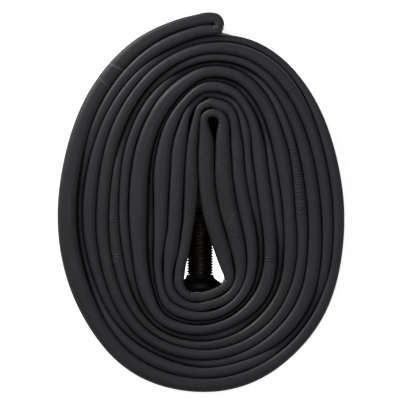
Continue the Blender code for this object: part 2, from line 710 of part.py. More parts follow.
def build_cap(plastic, soft):
    """The ribbed cap over the stem's end, and the gasket inside it."""
    cap_axis = empty_at("cap_axis", STEM_TOP)
    bore = THREADED_BORE_R
    profile = [
        (bore + 0.2, CAP_LOW), (4.55, CAP_LOW), (CAP_R, CAP_LOW + 0.3), (CAP_R, 33.4),
        (4.2, 34.9), (2.2, CAP_TOP), (0, CAP_TOP), (0, CAP_INNER_TOP),
        (3.9, CAP_INNER_TOP), (bore, 33.1), (bore, CAP_LOW + 0.3),
    ]
    shape = turned(profile, 2 * CAP_RIBS, ribbed=(2, 3), rib_depth=CAP_RIB_DEPTH)
    add_object("dust_cap", shape, plastic, cap_axis)
    gasket = [(0, 33.3), (3.1, 33.3), (3.1, 33.9), (0, 33.9)]
    add_object("cap_gasket", turned(gasket, 18), soft, cap_axis)


def seat_on_origin():
    """Moves everything so that the roll rests on z = 0, centred on the origin."""
    bpy.context.view_layer.update()
    tube = bpy.data.objects["inner_tube"]
    corners = np.array([v.co for v in tube.data.vertices])
    low, high = corners.min(0), corners.max(0)
    shift = -np.array([(low[0] + high[0]) / 2, (low[1] + high[1]) / 2, low[2]])
    for thing in bpy.data.objects:
        if thing.parent is None:
            thing.location = [a + b for a, b in zip(thing.location, shift)]
    bpy.context.view_layer.update()


def main():
    for thing in list(bpy.data.objects):
        bpy.data.objects.remove(thing)

    rubber = material("butyl_rubber", colour=(0.028, 0.028, 0.032), roughness=0.55)
    base_rubber = material("valve_rubber", colour=(0.018, 0.018, 0.02), roughness=0.6)
    brass = material("brass", colour=(0.16, 0.11, 0.07), roughness=0.4, metallic=1.0)
    plastic = material("cap_plastic", colour=(0.02, 0.02, 0.022), roughness=0.4)
    soft = material("seal_rubber", colour=(0.03, 0.03, 0.03), roughness=0.7)
    steel = material("spring_steel", colour=(0.6, 0.6, 0.62), roughness=0.3, metallic=1.0)
    blackened = material(
        "blackened_brass", colour=(0.03, 0.028, 0.026), roughness=0.45, metallic=1.0
    )

    build_tube(rubber)
    build_base(base_rubber)
    build_stem(brass)
    build_plug(brass)
    build_barrel(brass, soft)
    build_pin(steel, brass, soft)
    build_spring(steel)
    build_nut(blackened)
    build_cap(plastic, soft)
    seat_on_origin()


main()
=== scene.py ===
"""A bicycle inner tube, pressed flat and rolled up, with its valve and dust cap.

The roll lies with its faces towards +Z and -Z, and the valve in its heart points along +Y. The roll is laid out
as a flat closed line, then meshed with folded, rounded edges and a pocket round the valve. Lengths are
millimetres until they enter Blender; materials, floor and lamps are in metres.
"""

import math

import bmesh
import bpy
import numpy as np
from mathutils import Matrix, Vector


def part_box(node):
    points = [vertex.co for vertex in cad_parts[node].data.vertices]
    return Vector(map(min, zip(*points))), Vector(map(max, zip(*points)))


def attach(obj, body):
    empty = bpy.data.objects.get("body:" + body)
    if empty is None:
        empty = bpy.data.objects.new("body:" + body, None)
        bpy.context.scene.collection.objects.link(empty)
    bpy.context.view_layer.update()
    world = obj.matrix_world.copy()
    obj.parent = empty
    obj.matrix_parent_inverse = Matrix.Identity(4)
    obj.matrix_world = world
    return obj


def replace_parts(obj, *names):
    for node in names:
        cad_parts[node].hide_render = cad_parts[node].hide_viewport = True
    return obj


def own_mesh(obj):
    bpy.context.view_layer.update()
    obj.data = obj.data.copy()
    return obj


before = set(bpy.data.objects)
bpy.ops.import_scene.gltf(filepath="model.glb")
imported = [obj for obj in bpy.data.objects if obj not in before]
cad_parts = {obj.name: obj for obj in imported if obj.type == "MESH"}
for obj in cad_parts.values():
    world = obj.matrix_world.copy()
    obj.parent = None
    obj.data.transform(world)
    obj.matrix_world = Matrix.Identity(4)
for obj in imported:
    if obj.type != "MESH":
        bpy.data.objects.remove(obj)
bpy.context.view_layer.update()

MM = 0.001

# ---------------------------------------------------------------- tube sizes
FLAT_WIDTH = 44.0  # width of the tube pressed flat = height of the roll
HALF_HEIGHT = FLAT_WIDTH / 2
STRAND_MIN = 1.9  # two walls and the film of air left between them
GAP = 0.34  # clearance kept between neighbouring wraps
MIDDLE_GAP = 0.44  # the same on the mid plane
TIP_GAP = 0.03  # between neighbouring ridges at the roll's faces
TOUCH = STRAND_MIN + GAP
RECESS = 3.0  # how far the narrow, buried wraps sink below the others
SWELL = 0.5  # how far the outside wrap stands out of its seam

# Seam radii from the roll's centre, along these compass directions (degrees clockwise from +Y).
# Row 0 is the roll's outside; each next row is one wrap further in.
# Row k at 360 degrees runs on into row k - 2 at 0.
COMPASS = (0, 15, 30, 45, 60, 90, 120, 135, 150, 165, 180, 200, 215, 240, 270, 310, 335, 350)
SEAMS = (
    (48.3, 48.8, 46.6, 43.3, 40.6, 39.3, 43.1, 46.4, 49.4,
     52.1, 53.1, 52.3, 49.6, 44.6, 41.6, 45.1, 50.5, 52.9),
    (46.3, 46.9, 44.9, 41.1, 38.1, 36.6, 40.6, 43.7, 46.6,
     48.5, 49.6, 48.3, 45.2, 39.3, 36.6, 40.6, 46.6, 50.0),
    (43.3, 43.4, 41.1, 37.4, 34.6, 33.1, 38.0, 41.8, 44.6,
     45.5, 46.6, 44.8, 42.8, 37.4, 34.9, 38.0, 43.4, 46.3),
    (41.0, 41.2, 38.3, 33.8, 30.6, 29.1, 33.4, 37.6, 40.9,
     43.2, 44.3, 43.1, 40.5, 34.3, 31.0, 34.9, 41.0, 44.3),
    (39.7, 39.6, 36.0, 31.0, 28.0, 25.7, 30.3, 34.1, 37.9,
     40.3, 41.4, 40.3, 37.0, 30.6, 27.3, 31.1, 37.7, 41.4),
    (36.3, 36.2, 31.6, 26.5, 23.3, 22.0, 26.1, 30.7, 34.6,
     37.4, 39.1, 38.1, 34.3, 27.1, 24.6, 28.9, 35.6, 39.1),
    (35.3, 34.5, 29.4, 24.1, 20.7, 19.6, 23.7, 28.6, 33.1,
     35.0, 37.1, 36.6, 32.0, 24.3, 21.9, 26.0, 33.0, 37.1),
    (32.4, 31.7, 25.7, 18.6, 16.3, 15.4, 19.4, 23.8, 28.9,
     32.2, 34.4, 33.4, 26.9, 19.1, 16.3, 20.3, 27.6, 32.9),
    (30.9, 29.7, 21.6, 15.6, 13.6, 13.1, 17.1, 21.4, 27.4,
     31.2, 33.1, 32.3, 25.1, 16.6, 14.6, 18.7, 26.5, 31.9),
    (28.6, 26.0, 14.9, 10.9, 9.6, 9.1, 12.4, 16.8, 23.7,
     28.7, 30.7, 29.1, 21.4, 12.1, 10.6, 12.9, 21.2, 29.1),
)
# The innermost seam (degrees, radius) exists only from the foot of the roll up its left side to the top.
INNER_SEAM = (
    (180, 27.7), (190, 28.0), (200, 25.4), (207, 20.0), (215, 12.3), (227, 9.0), (240, 7.4),
    (270, 6.6), (310, 8.0), (335, 13.1), (345, 20.0), (350, 25.7), (360, 30.9),
)
LAST_OUTER, LAST_SECOND = 54.8, 51.65  # the two outermost seams when they reach 360 degrees
SEAM_STEP = 3.0  # degrees between samples of the seams
PER_TURN = 120  # samples in 360 degrees
TURNS = 5

# The heart of the roll: (x, y, strand width). HEART_A leaves the valve to the right, climbs beside
# the stem, turns over the small eye at the top and comes down again; HEART_B leaves the valve to
# the left and climbs to the top.
HEART_A = (
    (-1.4, -26.5, 2.7), (0.8, -26.0, 2.7), (3.2, -25.05, 2.5), (5.5, -23.75, 2.4),
    (6.85, -22.3, 2.4), (7.1, -20.5, 3.1), (6.45, -18.0, 3.75), (5.0, -13.4, 4.65),
    (3.5, -8.6, 4.75), (1.75, -1.4, 4.85), (0.8, 5.0, 4.7), (0.35, 11.4, 4.95),
    (0.25, 16.5, 4.95), (0.0, 20.0, 4.1), (-0.35, 23.1, 2.7), (-0.2, 25.2, 2.25),
    (1.2, 26.7, 2.3), (3.0, 27.25, 2.3), (4.8, 26.6, 2.5), (5.75, 24.3, 3.05),
    (5.45, 20.0, 4.05), (5.2, 14.0, 4.7), (5.6, 7.1, 5.25), (6.4, 0.8, 5.25),
    (7.95, -5.7, 4.95), (9.2, -11.4, 4.5), (10.05, -15.7, 3.75), (10.2, -19.2, 3.05),
    (9.3, -22.6, 2.75), (7.6, -25.2, 2.7), (4.9, -27.2, 2.75),
)
HEART_B = (
    (-4.6, -26.2, 2.6), (-6.5, -24.8, 2.6), (-7.75, -22.5, 2.9), (-7.7, -19.5, 3.0),
    (-7.4, -16.5, 2.95), (-6.8, -13.4, 3.1), (-5.8, -9.5, 3.2), (-5.0, -5.7, 3.2),
    (-4.4, -1.4, 3.6), (-3.9, 2.9, 3.9), (-3.75, 7.1, 3.9), (-3.85, 12.0, 3.4),
    (-3.75, 15.7, 3.1), (-3.2, 19.1, 2.9), (-2.4, 24.9, 2.0), (-1.4, 27.7, 1.9),
)
# The fold where the two strands meet at the end of the roll, from the inner leg round to the outer.
BIGHT = (
    (1.2, 49.9, 3.1), (2.9, 50.0, 2.8), (3.85, 50.7, 2.4), (4.0, 52.0, 2.3), (3.2, 53.1, 2.7),
    (1.4, 53.3, 3.1),
)

# ---------------------------------------------------------------- valve sizes
VALVE_X, VALVE_Y = -1.4, -25.2  # foot of the valve in the layout
THREAD_R, THREAD_PITCH = 3.85, 0.794
STEM_TOP = 33.0  # heights are above the valve's foot
FOOT_R = 4.6
SHANK_R = 2.95
CORE_BORE_R, CORE_PITCH = 2.65, 0.706
AIR_BORE_R = 2.1
BASE_R, BASE_TOP = 6.25, 5.0
NUT_R, NUT_LOW, NUT_HIGH = 6.15, 19.8, 23.0
CAP_R, CAP_LOW = 4.7, 24.3
OUTER_BORE_R = THREAD_R + 0.3  # bore of the nut and of the cap
PLUG_R, PLUG_FLAT = 2.3, 1.45  # core plug, and its key flats' distance from the axis
PIN_R, PIN_TRAVEL = 0.45, 1.2
SPRING_R, SPRING_WIRE_R, SPRING_COILS = 0.95, 0.12, 8
SPRING_LOW, SPRING_LENGTH = 15.3, 8.5

# ---------------------------------------------------------------- sampling
COARSE = 1104  # samples round the ring while the wraps are pushed apart
FINER = 8  # fine samples to each coarse one
COUNT = COARSE * FINER
AWAY = 6  # coarse samples along the ring that don't count as neighbours
REACH = 8.5  # mm within which strands are tested against each other

# Room on the mid plane (centre, half size, corner radius): the valve's foot and the nut's run,
# then the stem's end and the cap's run.
POCKET = (
    ((VALVE_X, VALVE_Y + 11.85), (BASE_R + 0.65, 11.95), 2.4),
    ((VALVE_X, VALVE_Y + 30.5), (CAP_R + 0.5, 11.0), 4.2),
)


# ================================================================ curve tools
def through(points, steps):
    """A centripetal Catmull-Rom curve through the points, steps samples to each span."""
    points = np.asarray(points, float)
    ends = np.vstack([2 * points[0] - points[1], points, 2 * points[-1] - points[-2]])
    curve = []
    for before, start, end, after in zip(ends, ends[1:], ends[2:], ends[3:]):
        knot1 = np.linalg.norm((start - before)[:2]) ** 0.5
        knot2 = knot1 + np.linalg.norm((end - start)[:2]) ** 0.5
        knot3 = knot2 + np.linalg.norm((after - end)[:2]) ** 0.5
        at = np.linspace(knot1, knot2, steps, endpoint=False)[:, None]

        def blend(low, high, first, second):
            return (high - at) / (high - low) * first + (at - low) / (high - low) * second

        inner = blend(knot1, knot2, start, end)
        near = blend(0, knot2, blend(0, knot1, before, start), inner)
        far = blend(knot1, knot3, inner, blend(knot2, knot3, end, after))
        curve.append(blend(knot1, knot2, near, far))
    return np.vstack(curve + [points[-1:]])


def on_compass(degrees, radius):
    angle = np.radians(degrees)
    return np.stack([radius * np.sin(angle), radius * np.cos(angle)], -1)


def seam_curve(readings):
    """Degrees (unwrapped) and radius along a smooth seam through (degrees, radius) readings."""
    readings = np.asarray(readings, float)
    curve = through(on_compass(readings[:, 0], readings[:, 1]), 14)
    angle = np.degrees(np.unwrap(np.arctan2(curve[:, 0], curve[:, 1])))
    angle += 360 * round((readings[0, 0] - angle[0]) / 360)
    return angle, np.hypot(curve[:, 0], curve[:, 1])


def smoothed(values, reach):
    """A running average over 2 * reach + 1 samples, ends held."""
    padded = np.pad(values, reach, "edge")
    return sum(padded[i : i + len(values)] for i in range(2 * reach + 1)) / (2 * reach + 1)


def ring_smooth(values, reach, times=1):
    """A running average on a closed list."""
    for _ in range(times):
        total = sum(np.roll(values, i, 0) for i in range(-reach, reach + 1))
        values = total / (2 * reach + 1)
    return values


def ease(value, low, high):
    """0 below low, 1 above high, an S curve between."""
    share = np.clip((value - low) / (high - low), 0, 1)
    return share * share * (3 - 2 * share)


# ================================================================ laying the roll
def seams():
    """The strands' outer surfaces as spirals: degrees, then radius for strand A and strand B."""
    grid = np.arange(0, 360 * TURNS + 1, SEAM_STEP)
    spirals = []
    for first_row, last in ((9, LAST_SECOND), (8, LAST_OUTER)):
        readings = [
            (degrees + 360 * turn, SEAMS[row][i])
            for turn, row in enumerate(range(first_row, -1, -2))
            for i, degrees in enumerate(COMPASS)
        ]
        readings.append((360 * TURNS, last))
        spirals.append(np.interp(grid, *seam_curve(readings)))
    return grid, *spirals


def shared_out(grid, a_out, b_out):
    """Thickens wraps thinner than the tube can be, at their wider neighbours' cost."""
    inner = np.interp(grid, *seam_curve(INNER_SEAM))
    new_a, new_b = a_out.copy(), b_out.copy()
    lean_a, lean_b = (np.abs(np.gradient(out, np.radians(grid))) / out for out in (a_out, b_out))
    for k in range(PER_TURN + 1):
        radii, slopes, slots = [], [], []
        for turn in range(TURNS - 1, -1, -1):
            i = k + PER_TURN * turn
            radii += [b_out[i], a_out[i]]
            slopes += [lean_b[i], lean_a[i]]
            slots += [(new_b, i), (new_a, i)]
        if k >= PER_TURN // 2:
            radii.append(inner[k])
            slopes.append(slopes[-1])
        radii, slopes = np.array(radii), np.array(slopes)
        width = radii[:-1] - radii[1:]
        least = TOUCH * np.sqrt(1 + (0.5 * (slopes[:-1] + slopes[1:])) ** 2)
        spare = np.maximum(width - least, 0)
        lack = np.maximum(least - width, 0).sum()
        width = np.maximum(width, least) - spare * min(1.0, lack / max(spare.sum(), 1e-9))
        width *= (radii[0] - radii[-1]) / width.sum()
        moved = radii[0] - np.cumsum(width)
        for (spiral, i), radius in zip(slots[1:], moved):
            spiral[i] = radius
    return smoothed(new_a, 3), smoothed(new_b, 3), inner


def strand(grid, shared, shown, start):
    """Samples of a strand from start degrees on, given its (outer, inner) seams after and before
    sharing out: x, y, width, shown x, shown y, shown width, 1."""
    columns = []
    for outside, inside in (shared, shown):
        middle = 0.5 * (outside + inside)
        lean = np.gradient(middle, np.radians(grid)) / middle
        width = (outside - inside) / np.sqrt(1 + lean**2)
        columns += [on_compass(grid, middle), width[:, None]]
    return np.column_stack(columns + [np.ones(len(grid))])[grid >= start]


def path_of_tube():
    """The ring as one closed list, from the valve along strand A, back along strand B."""
    grid, a_raw, b_raw = seams()
    a_out, b_out, inner = shared_out(grid, a_raw, b_raw)

    def inside_a(b_seam):
        last = (TURNS - 1) * PER_TURN + 1
        return np.concatenate([inner[: PER_TURN + 1], b_seam[1:last]])

    strand_a = strand(grid, (a_out, inside_a(b_out)), (a_raw, inside_a(b_raw)), 183)
    strand_b = strand(grid, (b_out, a_out), (b_raw, a_raw), 3)

    def loose(rows):
        """Listed samples in a strand's columns, with 0 for not wrapped."""
        rows = np.asarray(rows, float)
        return np.column_stack([rows, rows, np.zeros(len(rows))])

    heart_a = through(np.vstack([loose(HEART_A), strand_a[:1]]), 16)[:-1]
    heart_b = np.vstack([strand_b[:1], loose(HEART_B[::-1]), loose(HEART_A[:1])])
    heart_b = through(heart_b, 16)[1:-1]
    bight = through(np.vstack([strand_a[-1:], loose(BIGHT), strand_b[-1:]]), 12)[1:-1]
    return np.vstack([heart_a, strand_a, bight, strand_b[::-1], heart_b])


def even(path, count):
    """The closed path resampled at count even steps, and its length."""
    ring = np.vstack([path, path[:1]])
    spans = np.linalg.norm(np.diff(ring[:, :2], axis=0), axis=1)
    run = np.concatenate([[0], np.cumsum(spans)])
    at = np.arange(count) * run[-1] / count
    columns = [np.interp(at, run, ring[:, i]) for i in range(ring.shape[1])]
    return np.column_stack(columns), run[-1]


def rounded_box(points, centre, half, radius):
    """Signed distance and outward direction of a round-cornered box."""
    local = points - centre
    beyond = np.abs(local) - (np.asarray(half) - radius)
    outside = np.maximum(beyond, 0)
    far = np.linalg.norm(outside, axis=1)
    nearest_side = np.eye(2)[np.argmax(beyond, axis=1)]
    direction = outside / np.maximum(far, 1e-9)[:, None]
    direction = np.where((far > 1e-9)[:, None], direction, nearest_side)
    distance = np.where(far > 1e-9, far, beyond.max(axis=1)) - radius
    return distance, direction * np.where(local < 0, -1.0, 1.0)


def neighbours(here):
    """Index arrays: a sample, and the start and end of a segment of another wrap close to it."""
    count = len(here)
    index = np.arange(count)

    def along(first, second):
        steps = np.abs(first - second)
        return np.minimum(steps, count - steps)

    apart = np.linalg.norm(here[:, None] - here[None], axis=2)
    who, start = np.nonzero((apart < REACH) & (along(index[:, None], index[None]) > AWAY))
    end = (start + 1) % count
    keep = along(who, end) > AWAY
    return who[keep], start[keep], end[keep]


def overlap(here, half, gap, close):
    """For each neighbour: how much too close it is, the direction away from the segment, and
    where on the segment (0 to 1) the nearest point lies."""
    who, start, end = close
    span = here[end] - here[start]
    along = ((here[who] - here[start]) * span).sum(1)
    share = np.clip(along / np.maximum((span**2).sum(1), 1e-9), 0, 1)
    offset = here[who] - (here[start] + share[:, None] * span)
    distance = np.maximum(np.linalg.norm(offset, axis=1), 1e-6)
    needed = half[who] + (1 - share) * half[start] + share * half[end] + gap
    return np.maximum(needed - distance, 0), offset / distance[:, None], share


def settled(origin, half, rounds, gap, pocket=False):
    """Pushes the strands apart until none come closer than their half widths and the gap."""
    count = len(origin)
    here = origin.copy()
    for step in range(rounds):
        if step % 8 == 0:
            close = neighbours(here)
        short, direction, share = overlap(here, half, gap, close)
        push = direction * (0.5 * short)[:, None]
        near = short > 0
        move, hits = np.zeros((count, 2)), np.full(count, 1e-9)
        for who, weight in zip(close, (np.ones_like(share), -(1 - share), -share)):
            hits += np.bincount(who, np.abs(weight) * near, count)
            for axis in (0, 1):
                move[:, axis] += np.bincount(who, push[:, axis] * weight, count)
        here = here + 0.9 * move / np.maximum(hits, 1.0)[:, None]
        if pocket:
            for centre, size, radius in POCKET:
                distance, direction = rounded_box(here, centre, size, radius)
                here = here + direction * np.maximum(half + GAP - distance, 0)[:, None]
        if step < rounds - 60:  # spread each push along the strand and ease back to the origin
            shift = here - origin
            shift = 0.5 * shift + 0.25 * (np.roll(shift, 1, 0) + np.roll(shift, -1, 0))
            here = origin + shift * 0.999
    return here


def trimmed(here, half, gap):
    """Half widths, narrowed wherever a neighbour is still too close."""
    close = neighbours(here)
    short = overlap(here, half, gap, close)[0]
    less = np.zeros(len(here))
    for who in close[:2]:
        np.maximum.at(less, who, 0.5 * short)
    return half - less


def turning(here, reach):
    """Signed angle turned at each sample, positive to the left."""
    ahead, behind = np.roll(here, -reach, 0) - here, here - np.roll(here, reach, 0)
    cross = behind[:, 0] * ahead[:, 1] - behind[:, 1] * ahead[:, 0]
    return np.arctan2(cross, (ahead * behind).sum(1))


def calmness(here, step):
    """1 on the long easy stretches of the ring, 0 at its tight turns."""
    turn = turning(here, 2) / (2 * step)
    tight = (ring_smooth(np.abs(turn), 2) > 0.075).astype(float)
    for _ in range(4):
        tight = np.maximum(tight, np.maximum(np.roll(tight, 1), np.roll(tight, -1)))
    return (1 - ring_smooth(tight, 3, 2))[:, None]


def faired(here, calm):
    """Takes short waves out of the calm stretches without pulling the bends in."""
    once = ring_smooth(here, 3, 2)
    return here + (2 * once - ring_smooth(once, 3, 2) - here) * calm


def laid_out():
    """The tube's levels on the fine closed list, as a dict of arrays, and the ring's length."""
    path = path_of_tube()
    coarse, length = even(path, COARSE)
    shown = coarse[:, 3:5]
    body = np.maximum((coarse[:, 2] - GAP) / 2, STRAND_MIN / 2)
    edge = settled(coarse[:, :2], body, 260, GAP)
    half_edge = trimmed(edge, body, GAP)
    flat = np.full(COARSE, STRAND_MIN / 2)
    middle = settled(edge, flat, 400, MIDDLE_GAP, pocket=True)
    half_middle = trimmed(middle, np.maximum(flat, 0.86 * half_edge), GAP)
    calm = calmness(shown, length / COARSE)
    lip = np.maximum((coarse[:, 5] - TIP_GAP) / 2, 0.4)
    tip = faired(shown, calm)
    tip = faired(settled(tip, lip, 90, TIP_GAP), calm)
    half_tip = trimmed(tip, lip, TIP_GAP)

    fine, _ = even(path, COUNT)
    at = np.arange(COUNT) / FINER
    ring = np.arange(COARSE + 1)

    def spread(values):
        """Coarse values carried to the fine samples."""
        if values.ndim == 1:
            return spread(values[:, None])[:, 0]
        closed = np.vstack([values, values[:1]])
        columns = [np.interp(at, ring, column) for column in closed.T]
        return ring_smooth(np.column_stack(columns), 4, 2)

    return {
        "edge": fine[:, :2] + spread(edge - coarse[:, :2]),
        "middle": fine[:, :2] + spread(middle - coarse[:, :2]),
        "tip": fine[:, 3:5] + spread(tip - shown),
        "half_edge": spread(half_edge),
        "half_middle": spread(half_middle),
        "half_tip": spread(half_tip),
        "shown": spread(coarse[:, 5]),
        "wrapped": fine[:, 6],
    }, length


# ================================================================ the ring's measures
stem_low, stem_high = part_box("valve_stem")
AXIS_X = (stem_low.x + stem_high.x) / 2 / MM
AXIS_Z = (stem_low.z + stem_high.z) / 2 / MM
FOOT_Y = stem_low.y / MM - 0.3
SHIFT = np.array([AXIS_X - VALVE_X, FOOT_Y - VALVE_Y])  # from the layout to the CAD's frame

LAY, LENGTH = laid_out()
STEP = LENGTH / COUNT
ALONG = np.arange(COUNT) * STEP

RIPPLES = ((0.07, 31, 0.4), (0.056, 53, 2.1), (0.035, 97, 1.0))  # height, waves, phase
SQUARENESS = 2.1  # exponent of the ridge's section: 2 is an ellipse
RIDGE_DEGREES = (-38, -8, 14, 32, 48, 62, 76)  # rows on a ridge's flank; 90 would be its tip
WALL_HEIGHTS = (6.0, 10.5, 14.5)  # rows on the wall between mid plane and ridge
STATION_MM, STATION_RAD = ((1.45, 0.095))


def normals_of(points):
    """Vectors pointing to the left of the ring's run."""
    ahead = np.roll(points, -3, 0) - np.roll(points, 3, 0)
    ahead /= np.linalg.norm(ahead, axis=1)[:, None]
    return ring_smooth(np.column_stack([-ahead[:, 1], ahead[:, 0]]), 2)


NORMAL = {level: normals_of(LAY[level]) for level in ("edge", "middle", "tip")}


def wave(along, periods, phase):
    """A smooth closed wave along the ring."""
    return np.sin(2 * math.pi * periods * along / LENGTH + phase)


def tip_heights():
    """Height of the ridge's tip above the mid plane, along the ring."""
    shown = ring_smooth(LAY["shown"], 20, 2)
    sunk = RECESS * (1 - ease(shown, 1.5, 2.5)) * ease(LAY["wrapped"], 0.3, 0.9)
    ripple = sum(size * wave(ALONG, periods, phase) for size, periods, phase in RIPPLES)
    return HALF_HEIGHT - ring_smooth(sunk, 12, 2) - 0.16 + ripple


def outermost():
    """1 where a strand is the roll's outside, else 0; and +1 or -1 for the side facing out."""
    tip = LAY["tip"]
    bins = ((np.degrees(np.arctan2(tip[:, 1], tip[:, 0])) + 360) % 360 / 2).astype(int)
    radius = np.hypot(tip[:, 0], tip[:, 1])
    far = np.zeros(180)
    np.maximum.at(far, bins, radius)
    out = ring_smooth((radius > far[bins] - 1.6).astype(float), 40, 2)
    return out, np.sign((NORMAL["tip"] * tip).sum(1))


TIP_AT = tip_heights()
BEND = ring_smooth(turning(LAY["tip"], 6) / (6 * STEP), 3)  # curvature, 1/mm, positive to the left
OUT, OUT_SIDE = outermost()


# ================================================================ mesh tools
def link(name, mesh, body, finish, sharp=40):
    """Puts a mesh in the scene; edges beyond `sharp` degrees are creased, none if it is 0."""
    mesh.shade_smooth()
    if sharp:
        mesh.set_sharp_from_angle(angle=math.radians(sharp))
    mesh.materials.append(finish)
    thing = bpy.data.objects.new(name, mesh)
    bpy.context.scene.collection.objects.link(thing)
    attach(thing, body)
    return thing


def mesh_of(name, points, faces):
    """A mesh from points in mm and faces."""
    mesh = bpy.data.meshes.new(name)
    mesh.from_pydata([tuple(float(c) * MM for c in point) for point in points], [], faces)
    bm = bmesh.new()
    bm.from_mesh(mesh)
    bmesh.ops.recalc_face_normals(bm, faces=bm.faces)
    bm.to_mesh(mesh)
    bm.free()
    mesh.update()
    return mesh


# ================================================================ the tube
def chosen_stations():
    """Places on the fine list where the tube gets a section, closer together in the bends."""
    turn = np.abs(ring_smooth(np.abs(BEND), 6))
    density = 1 / STATION_MM + turn / STATION_RAD
    total = np.concatenate([[0], np.cumsum(density * STEP)])
    count = int(total[-1])
    return np.interp(np.arange(count) * total[-1] / count, total, np.arange(COUNT + 1))


def ridge_depth(half):
    return np.minimum(0.54 * half + 0.1, 1.3)


def valley(half, along):
    """Depth of the crease along the crown of the wide ridges."""
    patchy = 0.5 + 0.3 * wave(along, 23, 0.7) + 0.2 * wave(along, 41, 1.9)
    return (0.02 + 0.09 * patchy) * ease(half, 1.6, 2.4)


def squared(value, power):
    """The value's size to a power, with its sign kept."""
    return math.copysign(abs(value) ** power, value)


def tube_sections():
    """Points of the tube (station, place round the section, xyz) and the stations' run in mm."""
    at = chosen_stations()
    low = np.floor(at).astype(int) % COUNT
    part = at - np.floor(at)

    def pick(values):
        share = part if values.ndim == 1 else part[:, None]
        return values[low] * (1 - share) + values[(low + 1) % COUNT] * share

    line = {key: pick(values) for key, values in LAY.items()}
    side = {key: pick(values) for key, values in NORMAL.items()}
    half_edge, half_tip = line["half_edge"], line["half_tip"]
    top, bend, along = pick(TIP_AT), pick(BEND), pick(ALONG)
    out, out_side = pick(OUT), pick(OUT_SIDE)
    swell_left, swell_right = SWELL * out * (out_side > 0), SWELL * out * (out_side < 0)
    depth = ridge_depth(half_tip)
    crease = 0.16 * ease(np.abs(bend), 0.10, 0.22) * np.sin(2 * math.pi * along / 1.9)

    def row(levels, share, left, right, z):
        """Left points, right points and height of a row between two levels of the layout."""
        first, second = levels
        centre = line[first] * (1 - share) + line[second] * share
        normal = side[first] * (1 - share) + side[second] * share
        normal /= np.linalg.norm(normal, axis=1)[:, None]
        return centre + normal * left[:, None], centre - normal * right[:, None], z

    def wall(height):
        share = 1 - ease(height, 5.0, 16.0)
        narrow = np.minimum(half_edge, np.maximum(0.82 * half_edge, 0.95))
        half = line["half_middle"] * share + narrow * (1 - share)
        z = np.full(len(at), height)
        return row(("edge", "middle"), share, half + swell_left, half + swell_right, z)

    def ridge(degrees, crease_share):
        angle = math.radians(degrees)
        across = squared(math.cos(angle), 2 / SQUARENESS)
        rise = squared(math.sin(angle), 2 / SQUARENESS)
        share = 1 - 0.55 * ease(-rise, 0.0, 0.8)
        if degrees > 0:
            half, swell = half_tip * across, across
        else:
            half = half_tip * share + np.minimum(half_tip, 0.9 * half_edge) * (1 - share)
            swell = 1
        cut = crease * crease_share * (degrees > -20)  # only on the inner side of tight bends
        left = half - np.where(bend > 0, cut, 0) + swell_left * swell
        right = half - np.where(bend < 0, cut, 0) + swell_right * swell
        return row(("edge", "tip"), share, left, right, top - depth + depth * rise)

    walls = [wall(height) for height in WALL_HEIGHTS]
    upper, lower = (
        walls + [ridge(degrees, share) for degrees in RIDGE_DEGREES] for share in (1, 0.7)
    )
    middle_left, middle_right, zero = wall(0.0)
    crown = top - valley(half_tip, along)
    ring = [(middle_left, zero)]
    ring += [(left, z) for left, _, z in upper]
    ring.append((line["tip"], crown))
    ring += [(right, z) for _, right, z in reversed(upper)]
    ring.append((middle_right, zero))
    ring += [(right, -z) for _, right, z in lower]
    ring.append((line["tip"], -crown))
    ring += [(left, -z) for left, _, z in reversed(lower)]
    return np.stack([np.column_stack([xy + SHIFT, z + AXIS_Z]) for xy, z in ring], 1), along


def add_flow_map(mesh, points, along):
    """UV map in metres: along the ring, and round the section."""
    round_step = np.linalg.norm(np.roll(points, -1, 1) - points, axis=2).mean(0)
    round_at = np.concatenate([[0], np.cumsum(round_step)])
    along_at = np.concatenate([along, [LENGTH]])
    i, j = np.indices(points.shape[:2])
    across = np.stack([along_at[i], along_at[i + 1], along_at[i + 1], along_at[i]], -1)
    around = np.stack([round_at[j], round_at[j], round_at[j + 1], round_at[j + 1]], -1)
    flow = np.stack([across, around], -1).reshape(-1) * MM
    mesh.uv_layers.new(name="flow").data.foreach_set("uv", flow.astype(np.float32))


def volume_sign(points, quads):
    """Positive where the faces look outwards."""
    first, second, third, fourth = (points[quads[:, k]] for k in range(4))
    volume = np.einsum("ij,ij->i", first, np.cross(second, third))
    volume += np.einsum("ij,ij->i", first, np.cross(third, fourth))
    return float(volume.sum())


def build_tube(finish):
    points, along = tube_sections()
    flat_points = points.reshape(-1, 3)
    here = np.arange(len(flat_points)).reshape(points.shape[:2])
    ahead = np.roll(here, -1, 0)
    quads = np.stack([here, ahead, np.roll(ahead, -1, 1), np.roll(here, -1, 1)], -1)
    quads = quads.reshape(-1, 4)
    mesh = bpy.data.meshes.new("inner_tube_rubber")
    mesh.from_pydata((flat_points * MM).tolist(), [], quads.tolist())
    add_flow_map(mesh, points, along)
    if volume_sign(flat_points, quads) < 0:
        mesh.flip_normals()
    mesh.update()
    tube = link("inner_tube_rubber", mesh, "root", finish, sharp=0)
    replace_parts(tube, "inner_tube")


# ================================================================ moulding marks
# Ticks and the lap line: x, y in the layout, first and last angle, width, rise.
TICKS = (
    (17.9, -15.2, 20, 150, 0.34, 0.07), (17.9, -16.0, 20, 150, 0.34, 0.07),
    (-25.3, -3.9, 25, 150, 0.34, 0.07), (-25.3, -4.8, 25, 150, 0.34, 0.07),
    (-25.7, -14.2, 30, 140, 0.34, 0.07), (-25.7, -15.0, 30, 140, 0.34, 0.07),
    (24.9, 33.6, 20, 160, 0.34, 0.07), (-2.9, -26.6, 40, 140, 0.34, 0.07),
    (-1.9, -26.8, 40, 140, 0.34, 0.07), (-25.8, 39.7, 12, 170, 0.5, 0.10),
)
BAR_STEPS = 7
MARK_SINK = -0.12  # how far a bar's foot goes into the rubber


